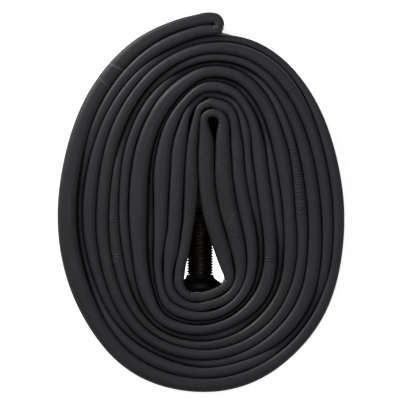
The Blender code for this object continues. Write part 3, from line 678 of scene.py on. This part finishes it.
def ridge_point(i, degrees, lift):
    """A point lifted off the upper ridge at fine sample i: 0 degrees is the left flank, 90 the
    tip, 180 the right flank."""
    half, top = LAY["half_tip"][i], TIP_AT[i]
    depth = float(ridge_depth(half))
    cosine, sine = math.cos(math.radians(degrees)), math.sin(math.radians(degrees))
    across = half * squared(cosine, 2 / SQUARENESS)
    z = top - depth + depth * abs(sine) ** (2 / SQUARENESS)
    normal_across = squared(cosine, 2 - 2 / SQUARENESS) / half
    normal_up = abs(sine) ** (2 - 2 / SQUARENESS) / depth
    size = math.hypot(normal_across, normal_up)
    xy = LAY["tip"][i] + NORMAL["tip"][i] * (across + lift * normal_across / size) + SHIFT
    return np.array([*xy, z + lift * normal_up / size + AXIS_Z])


def nearest(x, y):
    """The fine sample whose ridge lies closest to a layout point, sunken wraps left out."""
    far = np.linalg.norm(LAY["tip"] - np.array([x, y]), axis=1)
    return int(np.argmin(far + np.where(TIP_AT < HALF_HEIGHT - 1.0, 5.0, 0.0)))


def start_of_row(x, y, axis):
    """The sample nearest a point, and the way along the ring that goes up the axis."""
    start = nearest(x, y)
    ahead = LAY["tip"][(start + 20) % COUNT][axis]
    return start, 1 if ahead > LAY["tip"][start][axis] else -1


def build_marks(finish):
    """Small raised bars across the folded edges."""
    points, faces = [], []

    def bar(i, low, high, width, rise, slant=0.0):
        base = len(points)
        reach = max(1, int(round(width / 2 / STEP)))
        for k in range(BAR_STEPS):
            share = k / (BAR_STEPS - 1)
            here = i % COUNT + int(round(slant * (share - 0.5) / STEP))
            top = rise * (0.35 if k in (0, BAR_STEPS - 1) else 1.0)
            for offset, lift in (
                (-reach, MARK_SINK), (-reach, top * 0.55), (0, top), (reach, top * 0.55), (reach, MARK_SINK),
            ):
                point = ridge_point((here + offset) % COUNT, low + (high - low) * share, lift)
                points.append(point)
        for first in range(base, base + (BAR_STEPS - 1) * 5, 5):
            for m in range(5):
                n = (m + 1) % 5
                faces.append((first + m, first + n, first + 5 + n, first + 5 + m))
        last = base + (BAR_STEPS - 1) * 5
        faces.append(tuple(range(base, base + 5)))
        faces.append(tuple(range(last + 4, last - 1, -1)))

    # a block of plain bars on a wrap at the right
    start, direction = start_of_row(27.3, -2.5, axis=1)
    run = 0.0
    for k in range(19):
        low, high = (40, 128) if k % 3 != 1 else (62, 112)
        slant = 0.35 if k % 2 else -0.35
        bar(start + direction * int(run / STEP), low, high, width=0.42, rise=0.10, slant=slant)
        run += 0.9 if k % 3 else 1.35
    # a shorter row at the foot of the roll
    start, direction = start_of_row(-1.0, -39.2, axis=0)
    for k in range(8):
        bar(start + direction * int(0.8 * k / STEP), 62, 118, width=0.36, rise=0.08)
    for x, y, low, high, width, rise in TICKS:
        bar(nearest(x, y), low, high, width, rise)
    mesh = mesh_of("mould_marks", points, faces)
    link("mould_marks", mesh, "root", finish, sharp=0)


# ================================================================ turning tools
def on_valve(radius, turn, height):
    return (AXIS_X + radius * math.cos(turn), FOOT_Y + height, AXIS_Z - radius * math.sin(turn))


def lathe(name, profile, segments):
    """A closed surface turned about the valve's axis. The profile lists (radius, height) or
    (radius, height, shape), where shape(turn, height) is added to the radius. Radius 0 is a pole."""
    points, faces, rows = [], [], []
    for radius, height, *shape in profile:
        if radius == 0:
            rows.append([len(points)] * segments)
            points.append(on_valve(0, 0, height))
            continue
        rows.append(range(len(points), len(points) + segments))
        for i in range(segments):
            turn = 2 * math.pi * i / segments
            extra = shape[0](turn, height) if shape else 0
            points.append(on_valve(radius + extra, turn, height))
    for row, following in zip(rows, rows[1:] + rows[:1]):
        for i in range(segments):
            j = (i + 1) % segments
            face = tuple(dict.fromkeys((row[i], row[j], following[j], following[i])))
            if len(face) > 2:
                faces.append(face)
    return mesh_of(name, points, faces)


def fading(height, low, high, run_out):
    """1 between two heights, easing to 0 at both."""
    return ease(height, low, low + run_out) * (1 - ease(height, high - run_out, high))


def thread(depth, pitch, low, high, run_out, inward=False):
    """Shape of a right-hand thread between two heights; inward cuts it into a bore."""

    def shape(turn, height):
        phase = (height / pitch - turn / (2 * math.pi)) % 1.0
        crest = ease(abs(2 * phase - 1), 0.12, 0.88)
        cut = depth * (1 - crest) * fading(height, low, high, run_out)
        return cut if inward else -cut

    return shape


def ribs(count, depth, low, high, run_out):
    """Shape of upright ribs with rounded crests between two heights."""

    def shape(turn, height):
        crest = 0.5 + 0.5 * math.cos(count * turn)
        return -depth * (1 - crest**0.6) * fading(height, low, high, run_out)

    return shape


def shaped_rows(radius, low, high, pitch, per_pitch, shape):
    """Profile points of a shaped stretch, with per_pitch rows or a few more to each pitch."""
    count = max(2, int(math.ceil((high - low) / (pitch / per_pitch))))
    return [(radius, low + (high - low) * k / count, shape) for k in range(count + 1)]


# ================================================================ the valve
def build_stem(finish):
    """Turned foot, shank, thread over the free length, and the bore for the core."""
    outer = thread(0.45, THREAD_PITCH, BASE_TOP - 0.7, STEM_TOP - 0.3, 0.6)
    inner = thread(0.22, CORE_PITCH, 27.2, STEM_TOP - 0.4, 0.5, inward=True)
    profile = [
        (AIR_BORE_R, 0.3), (FOOT_R - 0.15, 0.3), (FOOT_R, 0.45), (FOOT_R, 1.05), (FOOT_R - 0.15, 1.2),
        (SHANK_R + 0.2, 1.2), (SHANK_R, 1.4), (SHANK_R, BASE_TOP + 0.1), (3.3, BASE_TOP + 0.14),
        *shaped_rows(THREAD_R, BASE_TOP + 0.2, STEM_TOP - 0.65, THREAD_PITCH, 8, outer),
        (3.45, STEM_TOP - 0.12), (3.3, STEM_TOP), (2.9, STEM_TOP), (2.75, STEM_TOP - 0.15),
        *reversed(shaped_rows(CORE_BORE_R, 27.0, STEM_TOP - 0.4, CORE_PITCH, 6, inner)),
        (AIR_BORE_R, 25.5),
    ]
    mesh = lathe("valve_stem_threaded", profile, 56)
    stem = link("valve_stem_threaded", mesh, "root", finish, sharp=50)
    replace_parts(stem, "valve_stem")


def build_base(finish):
    """Rubber boss: broad foot, concave flare, rounded lip round the shank."""

    def sag(turn, height):
        """Makes the foot a little wider to the right, and uneven."""
        wider = 0.10 * math.cos(turn) * ease(4.0 - height, 0, 3.0)
        return wider + 0.05 * math.sin(5 * turn + 1.0) * ease(3.0 - height, 0, 2.5)

    profile = [
        (FOOT_R + 0.3, 0.1), (5.5, 0.05), (5.95, 0.4), (6.2, 0.9), (6.3, 1.4), (6.28, 1.9),
        (6.18, 2.3), (5.98, 2.7), (5.6, 3.05), (5.1, 3.4), (4.6, 3.72), (4.25, 4.0), (4.05, 4.35),
        (3.98, 4.7), (3.9, 4.95), (3.75, 5.05), (3.55, 5.06), (3.35, 5.0), (SHANK_R + 0.3, 4.85),
        (SHANK_R + 0.3, 1.5), (FOOT_R + 0.2, 1.5), (FOOT_R + 0.3, 1.35),
    ]
    profile = [(*point, sag) if point[0] > 5.2 else point for point in profile]
    mesh = lathe("valve_base_boss", profile, 64)
    base = link("valve_base_boss", mesh, "root", finish, sharp=0)
    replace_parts(base, "valve_base")


def build_plug(finish):
    """Core plug: threaded below, two key flats on its head."""

    def flats(turn, _):
        reach = abs(PLUG_R * math.cos(turn))
        return -max(0.0, reach - PLUG_FLAT) / max(abs(math.cos(turn)), 1e-6)

    head = ((PLUG_R, 30.96), (PLUG_R, 31.6), (PLUG_R, 32.1), (2.12, 32.32), (1.95, 32.4))
    outer = thread(0.2, CORE_PITCH, 28.9, 31.1, 0.3)
    profile = [
        (1.05, 28.9), (2.1, 28.9),
        *shaped_rows(PLUG_R, 29.0, 30.9, CORE_PITCH, 8, outer),
        *((*point, flats) for point in head),
        (1.2, 32.4), (1.05, 32.25),
    ]
    mesh = lathe("core_plug_head", profile, 64)
    plug = link("core_plug_head", mesh, "root", finish, sharp=35)
    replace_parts(plug, "core_plug")


def build_spring(finish):
    """Round wire; the first and last turns lie close to their neighbours."""
    wire, coils, sides = SPRING_WIRE_R, SPRING_COILS, 10
    low, high = SPRING_LOW + wire, SPRING_LOW + SPRING_LENGTH - wire
    closed_rise = 2 * wire + 0.03
    open_rise = (high - low - 2 * closed_rise) / coils
    steps = 40 * (coils + 2)
    points, faces = [], []
    for i in range(steps + 1):
        turns = (coils + 2) * i / steps
        closed_turns = min(turns, 1.0) + max(turns - 1 - coils, 0)
        height = low + closed_rise * closed_turns + open_rise * min(max(turns - 1, 0), coils)
        for k in range(sides):
            angle = 2 * math.pi * k / sides
            radius = SPRING_R + wire * math.cos(angle)
            points.append(on_valve(radius, 2 * math.pi * turns, height + wire * math.sin(angle)))
    for first in range(0, steps * sides, sides):
        for k in range(sides):
            n = (k + 1) % sides
            faces.append((first + k, first + n, first + sides + n, first + sides + k))
    faces.append(tuple(range(sides)))
    faces.append(tuple(reversed(range(steps * sides, (steps + 1) * sides))))
    mesh = mesh_of("core_spring_wire", points, faces)
    spring = link("core_spring_wire", mesh, "root", finish, sharp=60)
    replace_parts(spring, "core_spring")
    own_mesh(spring)


def build_nut(finish):
    """Ring nut: straight knurl, chamfered, threaded bore."""
    knurl = ribs(44, 0.16, NUT_LOW + 0.45, NUT_HIGH - 0.45, 0.15)
    inner = thread(0.22, THREAD_PITCH, NUT_LOW + 0.2, NUT_HIGH - 0.2, 0.4, inward=True)
    bore = shaped_rows(OUTER_BORE_R, NUT_LOW + 0.25, NUT_HIGH - 0.25, THREAD_PITCH, 8, inner)
    chamfer = ((OUTER_BORE_R + 0.35, 0), (5.4, 0), (5.65, 0.08), (5.98, 0.42))  # radius, depth
    profile = [
        *((radius, NUT_LOW + depth) for radius, depth in chamfer),
        *shaped_rows(NUT_R - 0.02, NUT_LOW + 0.5, NUT_HIGH - 0.5, 0.8, 3, knurl),
        *((radius, NUT_HIGH - depth) for radius, depth in reversed(chamfer)),
        *reversed(bore),
    ]
    mesh = lathe("rim_nut_knurled", profile, 176)
    nut = link("rim_nut_knurled", mesh, "nut", finish, sharp=45)
    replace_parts(nut, "rim_nut")


def build_cap(finish):
    """Dust cap: stepped skirt, ribs, domed top with a dimple, threaded inside."""
    grip = ribs(18, 0.2, CAP_LOW + 1.7, 33.3, 0.5)
    inner = thread(0.2, THREAD_PITCH, CAP_LOW + 0.4, 33.0, 0.5, inward=True)
    shoulder_r = 1.42
    shoulder = [
        (
            CAP_R - 1.5 + shoulder_r * math.cos(math.radians(degrees)),
            33.5 + shoulder_r * math.sin(math.radians(degrees)),
        )
        for degrees in range(0, 56, 11)
    ]
    profile = [
        (OUTER_BORE_R + 0.25, CAP_LOW), (4.45, CAP_LOW), (4.6, CAP_LOW + 0.1),
        (CAP_R - 0.02, CAP_LOW + 0.3), (CAP_R - 0.02, CAP_LOW + 1.2), (CAP_R - 0.1, CAP_LOW + 1.45),
        *shaped_rows(CAP_R - 0.04, CAP_LOW + 1.7, 33.35, 0.8, 2, grip),
        *shoulder,
        (3.2, 34.86), (2.2, 35.1), (1.2, 35.26), (0.8, 35.3), (0.55, 35.22), (0, 35.16),
        (0, 34.2), (3.6, 34.2), (3.9, 34.1), (OUTER_BORE_R - 0.05, 33.6),
        *reversed(shaped_rows(OUTER_BORE_R, CAP_LOW + 0.3, 33.2, THREAD_PITCH, 6, inner)),
    ]
    mesh = lathe("dust_cap_ribbed", profile, 108)
    cap = link("dust_cap_ribbed", mesh, "cap", finish, sharp=50)
    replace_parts(cap, "dust_cap")


# Small turned pieces: object, CAD piece, body, slot, finish, segments, sharp angle, then the
# profile as (radius, height).
TURNED = (
    ("core_barrel_body", "core_barrel", "root", "core_brass", "core", 48, 40, (
        (1.15, 14.0), (1.62, 14.0), (1.75, 14.12), (1.75, 25.1), (1.68, 25.3), (1.5, 25.5),
        (1.5, 27.9), (2.1, 27.9), (2.2, 28.0), (2.2, 28.5), (2.1, 28.6), (0.9, 28.6), (0.8, 28.5),
        (0.8, 25.0), (1.4, 25.0), (1.4, 15.0), (0.8, 15.0), (0.8, 14.5), (1.05, 14.1))),
    ("core_pin_rod", "core_pin", "pin", "core_steel", "steel", 32, 40, (
        (0, 11.4), (0.85, 11.4), (1.0, 11.52), (1.0, 11.8), (0.9, 11.9), (PIN_R, 11.9),
        (PIN_R, 31.9), (0.62, 32.0), (0.7, 32.1), (0.7, 32.6), (0.55, 32.74), (0.3, 32.8),
        (0, 32.82))),
    ("pin_collar_ring", "pin_collar", "pin", "core_brass", "core", 40, 60, (
        (0.75, 24.15), (0.82, 24.1), (1.0, 24.1), (1.08, 24.18), (1.08, 24.62), (1.0, 24.7),
        (0.82, 24.7), (0.75, 24.65))),
    ("seal_cup_pressed", "seal_cup", "pin", "core_brass", "core", 48, 40, (
        (0.75, 12.2), (1.5, 12.2), (1.68, 12.28), (1.75, 12.45), (1.75, 13.42), (1.7, 13.5),
        (1.55, 13.5), (1.5, 13.42), (1.5, 12.75), (1.42, 12.62), (1.3, 12.6), (0.75, 12.6))),
    ("seat_seal_ring", "seat_seal", "pin", "seal_rubber", "seal", 48, 0, (
        (0.75, 13.0), (0.85, 12.9), (1.1, 12.9), (1.2, 13.0), (1.2, 13.6), (1.1, 13.7),
        (0.85, 13.7), (0.75, 13.6))),
    ("barrel_gasket_ring", "barrel_gasket", "root", "seal_rubber", "seal", 48, 0, (
        (1.8, 26.1), (1.97, 26.1), (2.08, 26.25), (2.26, 26.9), (2.3, 27.1), (2.3, 27.45),
        (2.2, 27.58), (1.95, 27.6), (1.8, 27.55))),
    ("cap_gasket_disc", "cap_gasket", "cap_seal", "seal_rubber", "seal", 64, 60, (
        (0, 33.3), (2.95, 33.3), (3.1, 33.42), (3.1, 33.78), (2.95, 33.9), (0, 33.9))),
)


def build_turned(finishes):
    for name, cad_piece, body, slot, finish, segments, sharp, profile in TURNED:
        mesh = lathe(name, profile, segments)
        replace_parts(link(name, mesh, body, finishes[finish], sharp), cad_piece)


# ================================================================ materials
class Paint:
    """A small helper for procedural node materials."""

    def __init__(self, name):
        self.material = bpy.data.materials.new(name)
        self.material.use_nodes = True
        self.tree = self.material.node_tree
        self.shader = self.tree.nodes["Principled BSDF"]

    def feed(self, socket, value):
        """Links another socket to this one, or sets its value."""
        if isinstance(value, bpy.types.NodeSocket):
            self.tree.links.new(value, socket)
        elif socket.type == "RGBA":
            socket.default_value = (*value, 1.0)
        else:
            socket.default_value = value

    def node(self, kind, inputs, **settings):
        made = self.tree.nodes.new(kind)
        for key, value in settings.items():
            setattr(made, key, value)
        for key, value in inputs.items():
            self.feed(made.inputs[key], value)
        return made

    def coords(self):
        return self.node("ShaderNodeTexCoord", {}).outputs["Object"]

    def stretched(self, vector, scale):
        return self.node("ShaderNodeMapping", {"Scale": scale, "Vector": vector}).outputs[0]

    def noise(self, vector, scale, detail=3.0, rough=0.55, distortion=0.0):
        inputs = {
            "Scale": scale, "Detail": detail, "Roughness": rough, "Distortion": distortion, "Vector": vector,
        }
        return self.node("ShaderNodeTexNoise", inputs).outputs["Fac"]

    def ramp(self, value, low, high, to_low=0.0, to_high=1.0):
        inputs = {
            "From Min": low, "From Max": high, "To Min": to_low, "To Max": to_high, "Value": value,
        }
        made = self.node("ShaderNodeMapRange", inputs, interpolation_type="SMOOTHSTEP")
        return made.outputs["Result"]

    def math(self, kind, *values):
        return self.node("ShaderNodeMath", dict(enumerate(values)), operation=kind).outputs[0]

    def plus(self, first, second):
        return self.math("ADD", first, second)

    def times(self, first, second):
        return self.math("MULTIPLY", first, second)

    def mix(self, factor, first, second):
        # 0, 6 and 7 are the factor and the two colours; output 2 is the mixed colour
        made = self.node("ShaderNodeMix", {0: factor, 6: first, 7: second}, data_type="RGBA")
        return made.outputs[2]

    def bump(self, height, distance, strength):
        inputs = {"Strength": strength, "Distance": distance, "Height": height}
        return self.node("ShaderNodeBump", inputs).outputs[0]

    def finish(self, colour, roughness, normal=None, metallic=0.0, specular=0.5):
        inputs = {
            "Base Color": colour, "Roughness": roughness, "Metallic": metallic, "Specular IOR Level": specular,
        }
        if normal is not None:
            inputs["Normal"] = normal
        for name, value in inputs.items():
            self.feed(self.shader.inputs[name], value)
        return self.material


# Places where talc has settled in fine wrinkles: x, y, reach in mm.
HANDLED = (
    (3.4, 29.6, 6.2), (-15.5, 27.6, 3.4), (8.8, -4.6, 3.2), (4.6, 49.6, 2.2), (-25.4, -15.4, 3.0),
    (2.0, -27.0, 3.0),
)
# Pale lines where the strip laps: x, y, degrees of the line's normal, reach, half width, strength.
LAPS = (
    (-24.7, 39.1, 61.4, 4.6, 0.42, 0.9),
    (-28.4, 34.9, 54.0, 4.0, 0.36, 0.55),
    (-5.0, 41.0, 80.0, 3.0, 0.3, 0.35),
)


def tube_rubber():
    paint = Paint("butyl_rubber_look")
    place = paint.coords()
    flow = paint.node("ShaderNodeUVMap", {}, uv_map="flow").outputs[0]
    drawn = paint.stretched(flow, scale=(30.0, 2600.0, 1.0))
    streak = paint.noise(drawn, scale=1.0, detail=4.0, rough=0.6)
    mottle = paint.noise(place, scale=420.0, detail=5.0, rough=0.6)
    cloud = paint.noise(place, scale=75.0, rough=0.5)
    drift = paint.noise(paint.stretched(flow, scale=(9.0, 12.0, 1.0)), scale=1.0, detail=2.0)
    grain = paint.noise(place, scale=5200.0, detail=2.0, rough=0.6)
    # the black leans to violet in places and to neutral in others
    neutral, violet = (0.0142, 0.0144, 0.0158), (0.0212, 0.0200, 0.0290)
    tone = paint.mix(paint.ramp(drift, low=0.38, high=0.62), neutral, violet)
    # haze of talc that stays in the grain and along the drawn streaks
    haze = paint.times(
        paint.ramp(mottle, low=0.50, high=0.78),
        paint.ramp(cloud, low=0.36, high=0.66, to_low=0.25),
    )
    streak_haze = 0.34
    haze = paint.plus(
        paint.times(haze, 0.42), paint.times(paint.ramp(streak, low=0.54, high=0.76), streak_haze)
    )
    wrinkle = paint.noise(place, scale=1100.0, rough=0.65, distortion=1.2)
    split = paint.node("ShaderNodeSeparateXYZ", {0: place})

    def around(x, y, reach):
        """1 near a place, fading to 0 at its reach."""
        across = paint.math("SUBTRACT", split.outputs[0], x * MM)
        up = paint.math("SUBTRACT", split.outputs[1], y * MM)
        square = paint.plus(paint.times(across, across), paint.times(up, up))
        far = paint.math("SQRT", square)
        return paint.ramp(far, 0.45 * reach * MM, reach * MM, to_low=1.0, to_high=0.0)

    def lap_line(x, y, degrees, reach, wide):
        cosine, sine = math.cos(math.radians(degrees)), math.sin(math.radians(degrees))
        here = paint.plus(
            paint.times(split.outputs[0], cosine), paint.times(split.outputs[1], sine)
        )
        off = paint.math("SUBTRACT", here, (x * cosine + y * sine) * MM)
        off = paint.math("ABSOLUTE", off)
        core = paint.ramp(off, 0.3 * wide * MM, wide * MM, to_low=1.0, to_high=0.0)
        return paint.times(core, around(x, y, reach))

    handled = around(*HANDLED[0])
    for spot in HANDLED[1:]:
        handled = paint.math("MAXIMUM", handled, around(*spot))
    dusty = paint.times(handled, paint.ramp(wrinkle, low=0.44, high=0.66))
    pale = paint.times(dusty, 0.42)
    for *lap, strength in LAPS:
        pale = paint.math("MAXIMUM", pale, paint.times(lap_line(*lap), strength))
    flecks = paint.noise(place, scale=1700.0, rough=0.6)
    fleck_colour, haze_colour = (0.0270, 0.0262, 0.0310), (0.044, 0.0435, 0.050)
    pale_colour, speck_colour = (0.082, 0.080, 0.085), (0.11, 0.105, 0.10)
    tone = paint.mix(paint.ramp(flecks, low=0.35, high=0.7), tone, fleck_colour)
    colour = paint.mix(haze, tone, haze_colour)
    colour = paint.mix(pale, colour, pale_colour)
    # scattered light specks
    cells = paint.node("ShaderNodeTexVoronoi", {"Scale": 900.0, "Vector": place}, feature="F1")
    dot = paint.times(
        paint.ramp(cells.outputs["Distance"], low=0.10, high=0.16, to_low=1.0, to_high=0.0),
        paint.ramp(paint.noise(place, scale=160.0, detail=2.0), low=0.60, high=0.72),
    )
    colour = paint.mix(paint.times(dot, 0.5), colour, speck_colour)
    rough = paint.plus(
        paint.ramp(cloud, low=0.3, high=0.7, to_low=0.46, to_high=0.56), paint.times(haze, 0.22)
    )
    # relief: each pattern's share of the bump's height
    height = paint.plus(paint.times(flecks, 0.8), paint.times(mottle, 0.8))
    height = paint.plus(paint.times(streak, 1.1), height)
    height = paint.plus(paint.times(grain, 0.35), height)
    height = paint.plus(height, paint.times(paint.times(handled, wrinkle), 2.2))
    normal = paint.bump(height, distance=0.00007, strength=0.6)
    return paint.finish(colour, rough, normal, specular=0.42)


def plain_rubber(name, colour, dust, roughness):
    paint = Paint(name)
    place = paint.coords()
    fine = paint.noise(place, scale=3800.0)
    coarse = paint.noise(place, scale=520.0, detail=4.0)
    haze = paint.times(paint.ramp(coarse, low=0.48, high=0.75), 0.5)
    shade = paint.mix(haze, colour, dust)
    rough = paint.ramp(coarse, 0.3, 0.7, to_low=roughness - 0.06, to_high=roughness + 0.08)
    height = paint.plus(paint.times(fine, 0.5), coarse)
    return paint.finish(shade, rough, paint.bump(height, distance=0.00004, strength=0.6))


def metal(name, colour, tarnish, roughness, patches=(0.42, 0.66)):
    """Metal with tarnish in patches and fine turning marks round the valve's axis."""
    paint = Paint(name)
    place = paint.coords()
    patch = paint.noise(place, scale=700.0, detail=5.0, rough=0.62)
    turned = paint.stretched(place, scale=(60.0, 9000.0, 60.0))
    lines = paint.noise(turned, scale=1.0, rough=0.6)
    spot = paint.noise(place, scale=3500.0, detail=2.0)
    amount = paint.ramp(patch, *patches)
    shade = paint.mix(amount, colour, tarnish)
    rough = paint.plus(
        paint.ramp(amount, 0.0, 1.0, to_low=roughness, to_high=roughness + 0.16),
        paint.times(paint.ramp(lines, low=0.4, high=0.7), 0.08),
    )
    height = paint.plus(paint.times(lines, 0.7), paint.times(spot, 0.4))
    normal = paint.bump(height, distance=0.00002, strength=0.5)
    return paint.finish(shade, rough, normal, metallic=1.0)


def plastic(name, colour):
    paint = Paint(name)
    place = paint.coords()
    fine = paint.noise(place, scale=4200.0, detail=2.0)
    coarse = paint.noise(place, scale=300.0)
    lighter = tuple(c * 1.7 for c in colour)
    shade = paint.mix(paint.ramp(coarse, low=0.45, high=0.8), colour, lighter)
    rough = paint.ramp(coarse, low=0.3, high=0.7, to_low=0.36, to_high=0.5)
    return paint.finish(shade, rough, paint.bump(fine, distance=0.00003, strength=0.5))


def valve_finishes():
    worn = (0.5, 0.8)  # tarnish only in the strongest patches
    return {
        # painted shade: the stem keeps a brass hue, but its colour is darkened to a dark brown that stands in
        # for the shade deep in the roll's heart
        "stem": metal(
            "stem_brass_painted_shade_look", colour=(0.15, 0.115, 0.092), tarnish=(0.10, 0.075, 0.06), roughness=0.40
        ),
        "nut": metal(
            "nut_black_look", colour=(0.030, 0.029, 0.028), tarnish=(0.012, 0.011, 0.011), roughness=0.42
        ),
        "core": metal(
            "core_brass_look", colour=(0.62, 0.46, 0.22), tarnish=(0.34, 0.24, 0.12),
            roughness=0.26, patches=worn,
        ),
        "steel": metal(
            "core_steel_look", colour=(0.56, 0.56, 0.57), tarnish=(0.36, 0.35, 0.34),
            roughness=0.28, patches=worn,
        ),
        "base": plain_rubber(
            "valve_rubber_look", colour=(0.0085, 0.0085, 0.009), dust=(0.022, 0.021, 0.021), roughness=0.55
        ),
        "seal": plain_rubber(
            "seal_rubber_look", colour=(0.03, 0.028, 0.028), dust=(0.06, 0.058, 0.056), roughness=0.6
        ),
        "cap": plastic("cap_plastic_look", colour=(0.012, 0.012, 0.013)),
    }


# ================================================================ stage
PANEL_HALF_X, PANEL_HALF_Y = 0.011, 0.016  # lit panel under the roll's heart
PANEL_UP = 9.0  # mm from the valve's foot to the panel's centre
PANEL_GLOW = 1.8
SHADE_X, SHADE_Y = 0.0375, 0.0505  # radii of the unlit ellipse under the roll
FLOOR_GLOW = 0.8
AIM = (0, 0, 0.04)  # what the lamps point at
VIEW_WIDTH = 114.2857143  # mm seen across the picture
VIEW_X, VIEW_Y = -1.4285714, 1.4285714  # the picture's centre in the layout, mm
EYE_DISTANCE = 1.8


def floor_look():
    """Pale, glowing round the roll and through the opening in its heart."""
    paint = Paint("pale_floor")
    apart = paint.node("ShaderNodeSeparateXYZ", {0: paint.coords()})
    x, y = apart.outputs[0], apart.outputs[1]
    from_x = paint.math("ABSOLUTE", paint.math("SUBTRACT", x, AXIS_X * MM))
    from_y = paint.math("ABSOLUTE", paint.math("SUBTRACT", y, (FOOT_Y + PANEL_UP) * MM))
    inside = paint.times(
        paint.math("LESS_THAN", from_x, PANEL_HALF_X), paint.math("LESS_THAN", from_y, PANEL_HALF_Y)
    )
    across, down = paint.math("DIVIDE", x, SHADE_X), paint.math("DIVIDE", y, SHADE_Y)
    square = paint.plus(paint.times(across, across), paint.times(down, down))
    beside = paint.math("GREATER_THAN", square, 1.0)
    paint.finish((0.86, 0.86, 0.86), roughness=0.9, specular=0.1)
    glow = paint.plus(paint.times(inside, PANEL_GLOW), paint.times(beside, FLOOR_GLOW))
    paint.feed(paint.shader.inputs["Emission Color"], (1, 1, 1))
    paint.feed(paint.shader.inputs["Emission Strength"], glow)
    return paint.material


def build_floor():
    bm = bmesh.new()
    bmesh.ops.create_grid(bm, x_segments=2, y_segments=2, size=6.0)
    mesh = bpy.data.meshes.new("floor")
    bm.to_mesh(mesh)
    bm.free()
    mesh.materials.append(floor_look())
    floor = bpy.data.objects.new("floor", mesh)
    bpy.context.scene.collection.objects.link(floor)


def lamp(name, place, size, power):
    """A square lamp aimed at the roll."""
    light = bpy.data.lights.new(name, "AREA")
    light.shape = "RECTANGLE"
    light.size = light.size_y = size
    light.energy = power
    thing = bpy.data.objects.new(name, light)
    thing.location = place
    thing.rotation_mode = "QUATERNION"
    thing.rotation_quaternion = (Vector(AIM) - Vector(place)).to_track_quat("-Z", "Y")
    bpy.context.scene.collection.objects.link(thing)


def from_side(azimuth, elevation, distance):
    """A place at a distance from AIM, degrees from +X and above the horizon."""
    turn, rise = math.radians(azimuth), math.radians(elevation)
    flat = distance * math.cos(rise)
    return (flat * math.cos(turn), flat * math.sin(turn), AIM[2] + distance * math.sin(rise))


def build_camera():
    """Looks straight down on the roll's upper face."""
    camera = bpy.data.cameras.new("camera")
    camera.sensor_width = 36.0
    camera.lens = 36.0 * EYE_DISTANCE / (VIEW_WIDTH * MM)
    camera.clip_start, camera.clip_end = 0.01, 20
    eye = bpy.data.objects.new("camera", camera)
    x, y = (VIEW_X + SHIFT[0]) * MM, (VIEW_Y + SHIFT[1]) * MM
    eye.location = (x, y, 2 * AXIS_Z * MM + EYE_DISTANCE)
    bpy.context.scene.collection.objects.link(eye)
    bpy.context.scene.camera = eye


def build_stage():
    build_floor()
    lamp("key", from_side(azimuth=132, elevation=23, distance=0.36), size=0.16, power=1.04)
    lamp("fill", from_side(azimuth=-30, elevation=30, distance=0.65), size=0.3, power=0.28)
    lamp("top", (0.0, 0.0, 1.2), size=0.3, power=1.0)
    world = bpy.data.worlds.new("studio")
    world.use_nodes = True
    background = world.node_tree.nodes["Background"]
    background.inputs["Color"].default_value = (0.95, 0.97, 1.0, 1)
    background.inputs["Strength"].default_value = 0.22
    bpy.context.scene.world = world
    build_camera()
    bpy.context.scene.view_settings.view_transform = "Standard"
    bpy.context.scene.view_settings.look = "None"


def main():
    rubber = tube_rubber()
    finishes = valve_finishes()
    build_tube(rubber)
    build_marks(rubber)
    build_stem(finishes["stem"])
    build_base(finishes["base"])
    build_plug(finishes["core"])
    build_spring(finishes["steel"])
    build_nut(finishes["nut"])
    build_cap(finishes["cap"])
    build_turned(finishes)
    build_stage()


main()
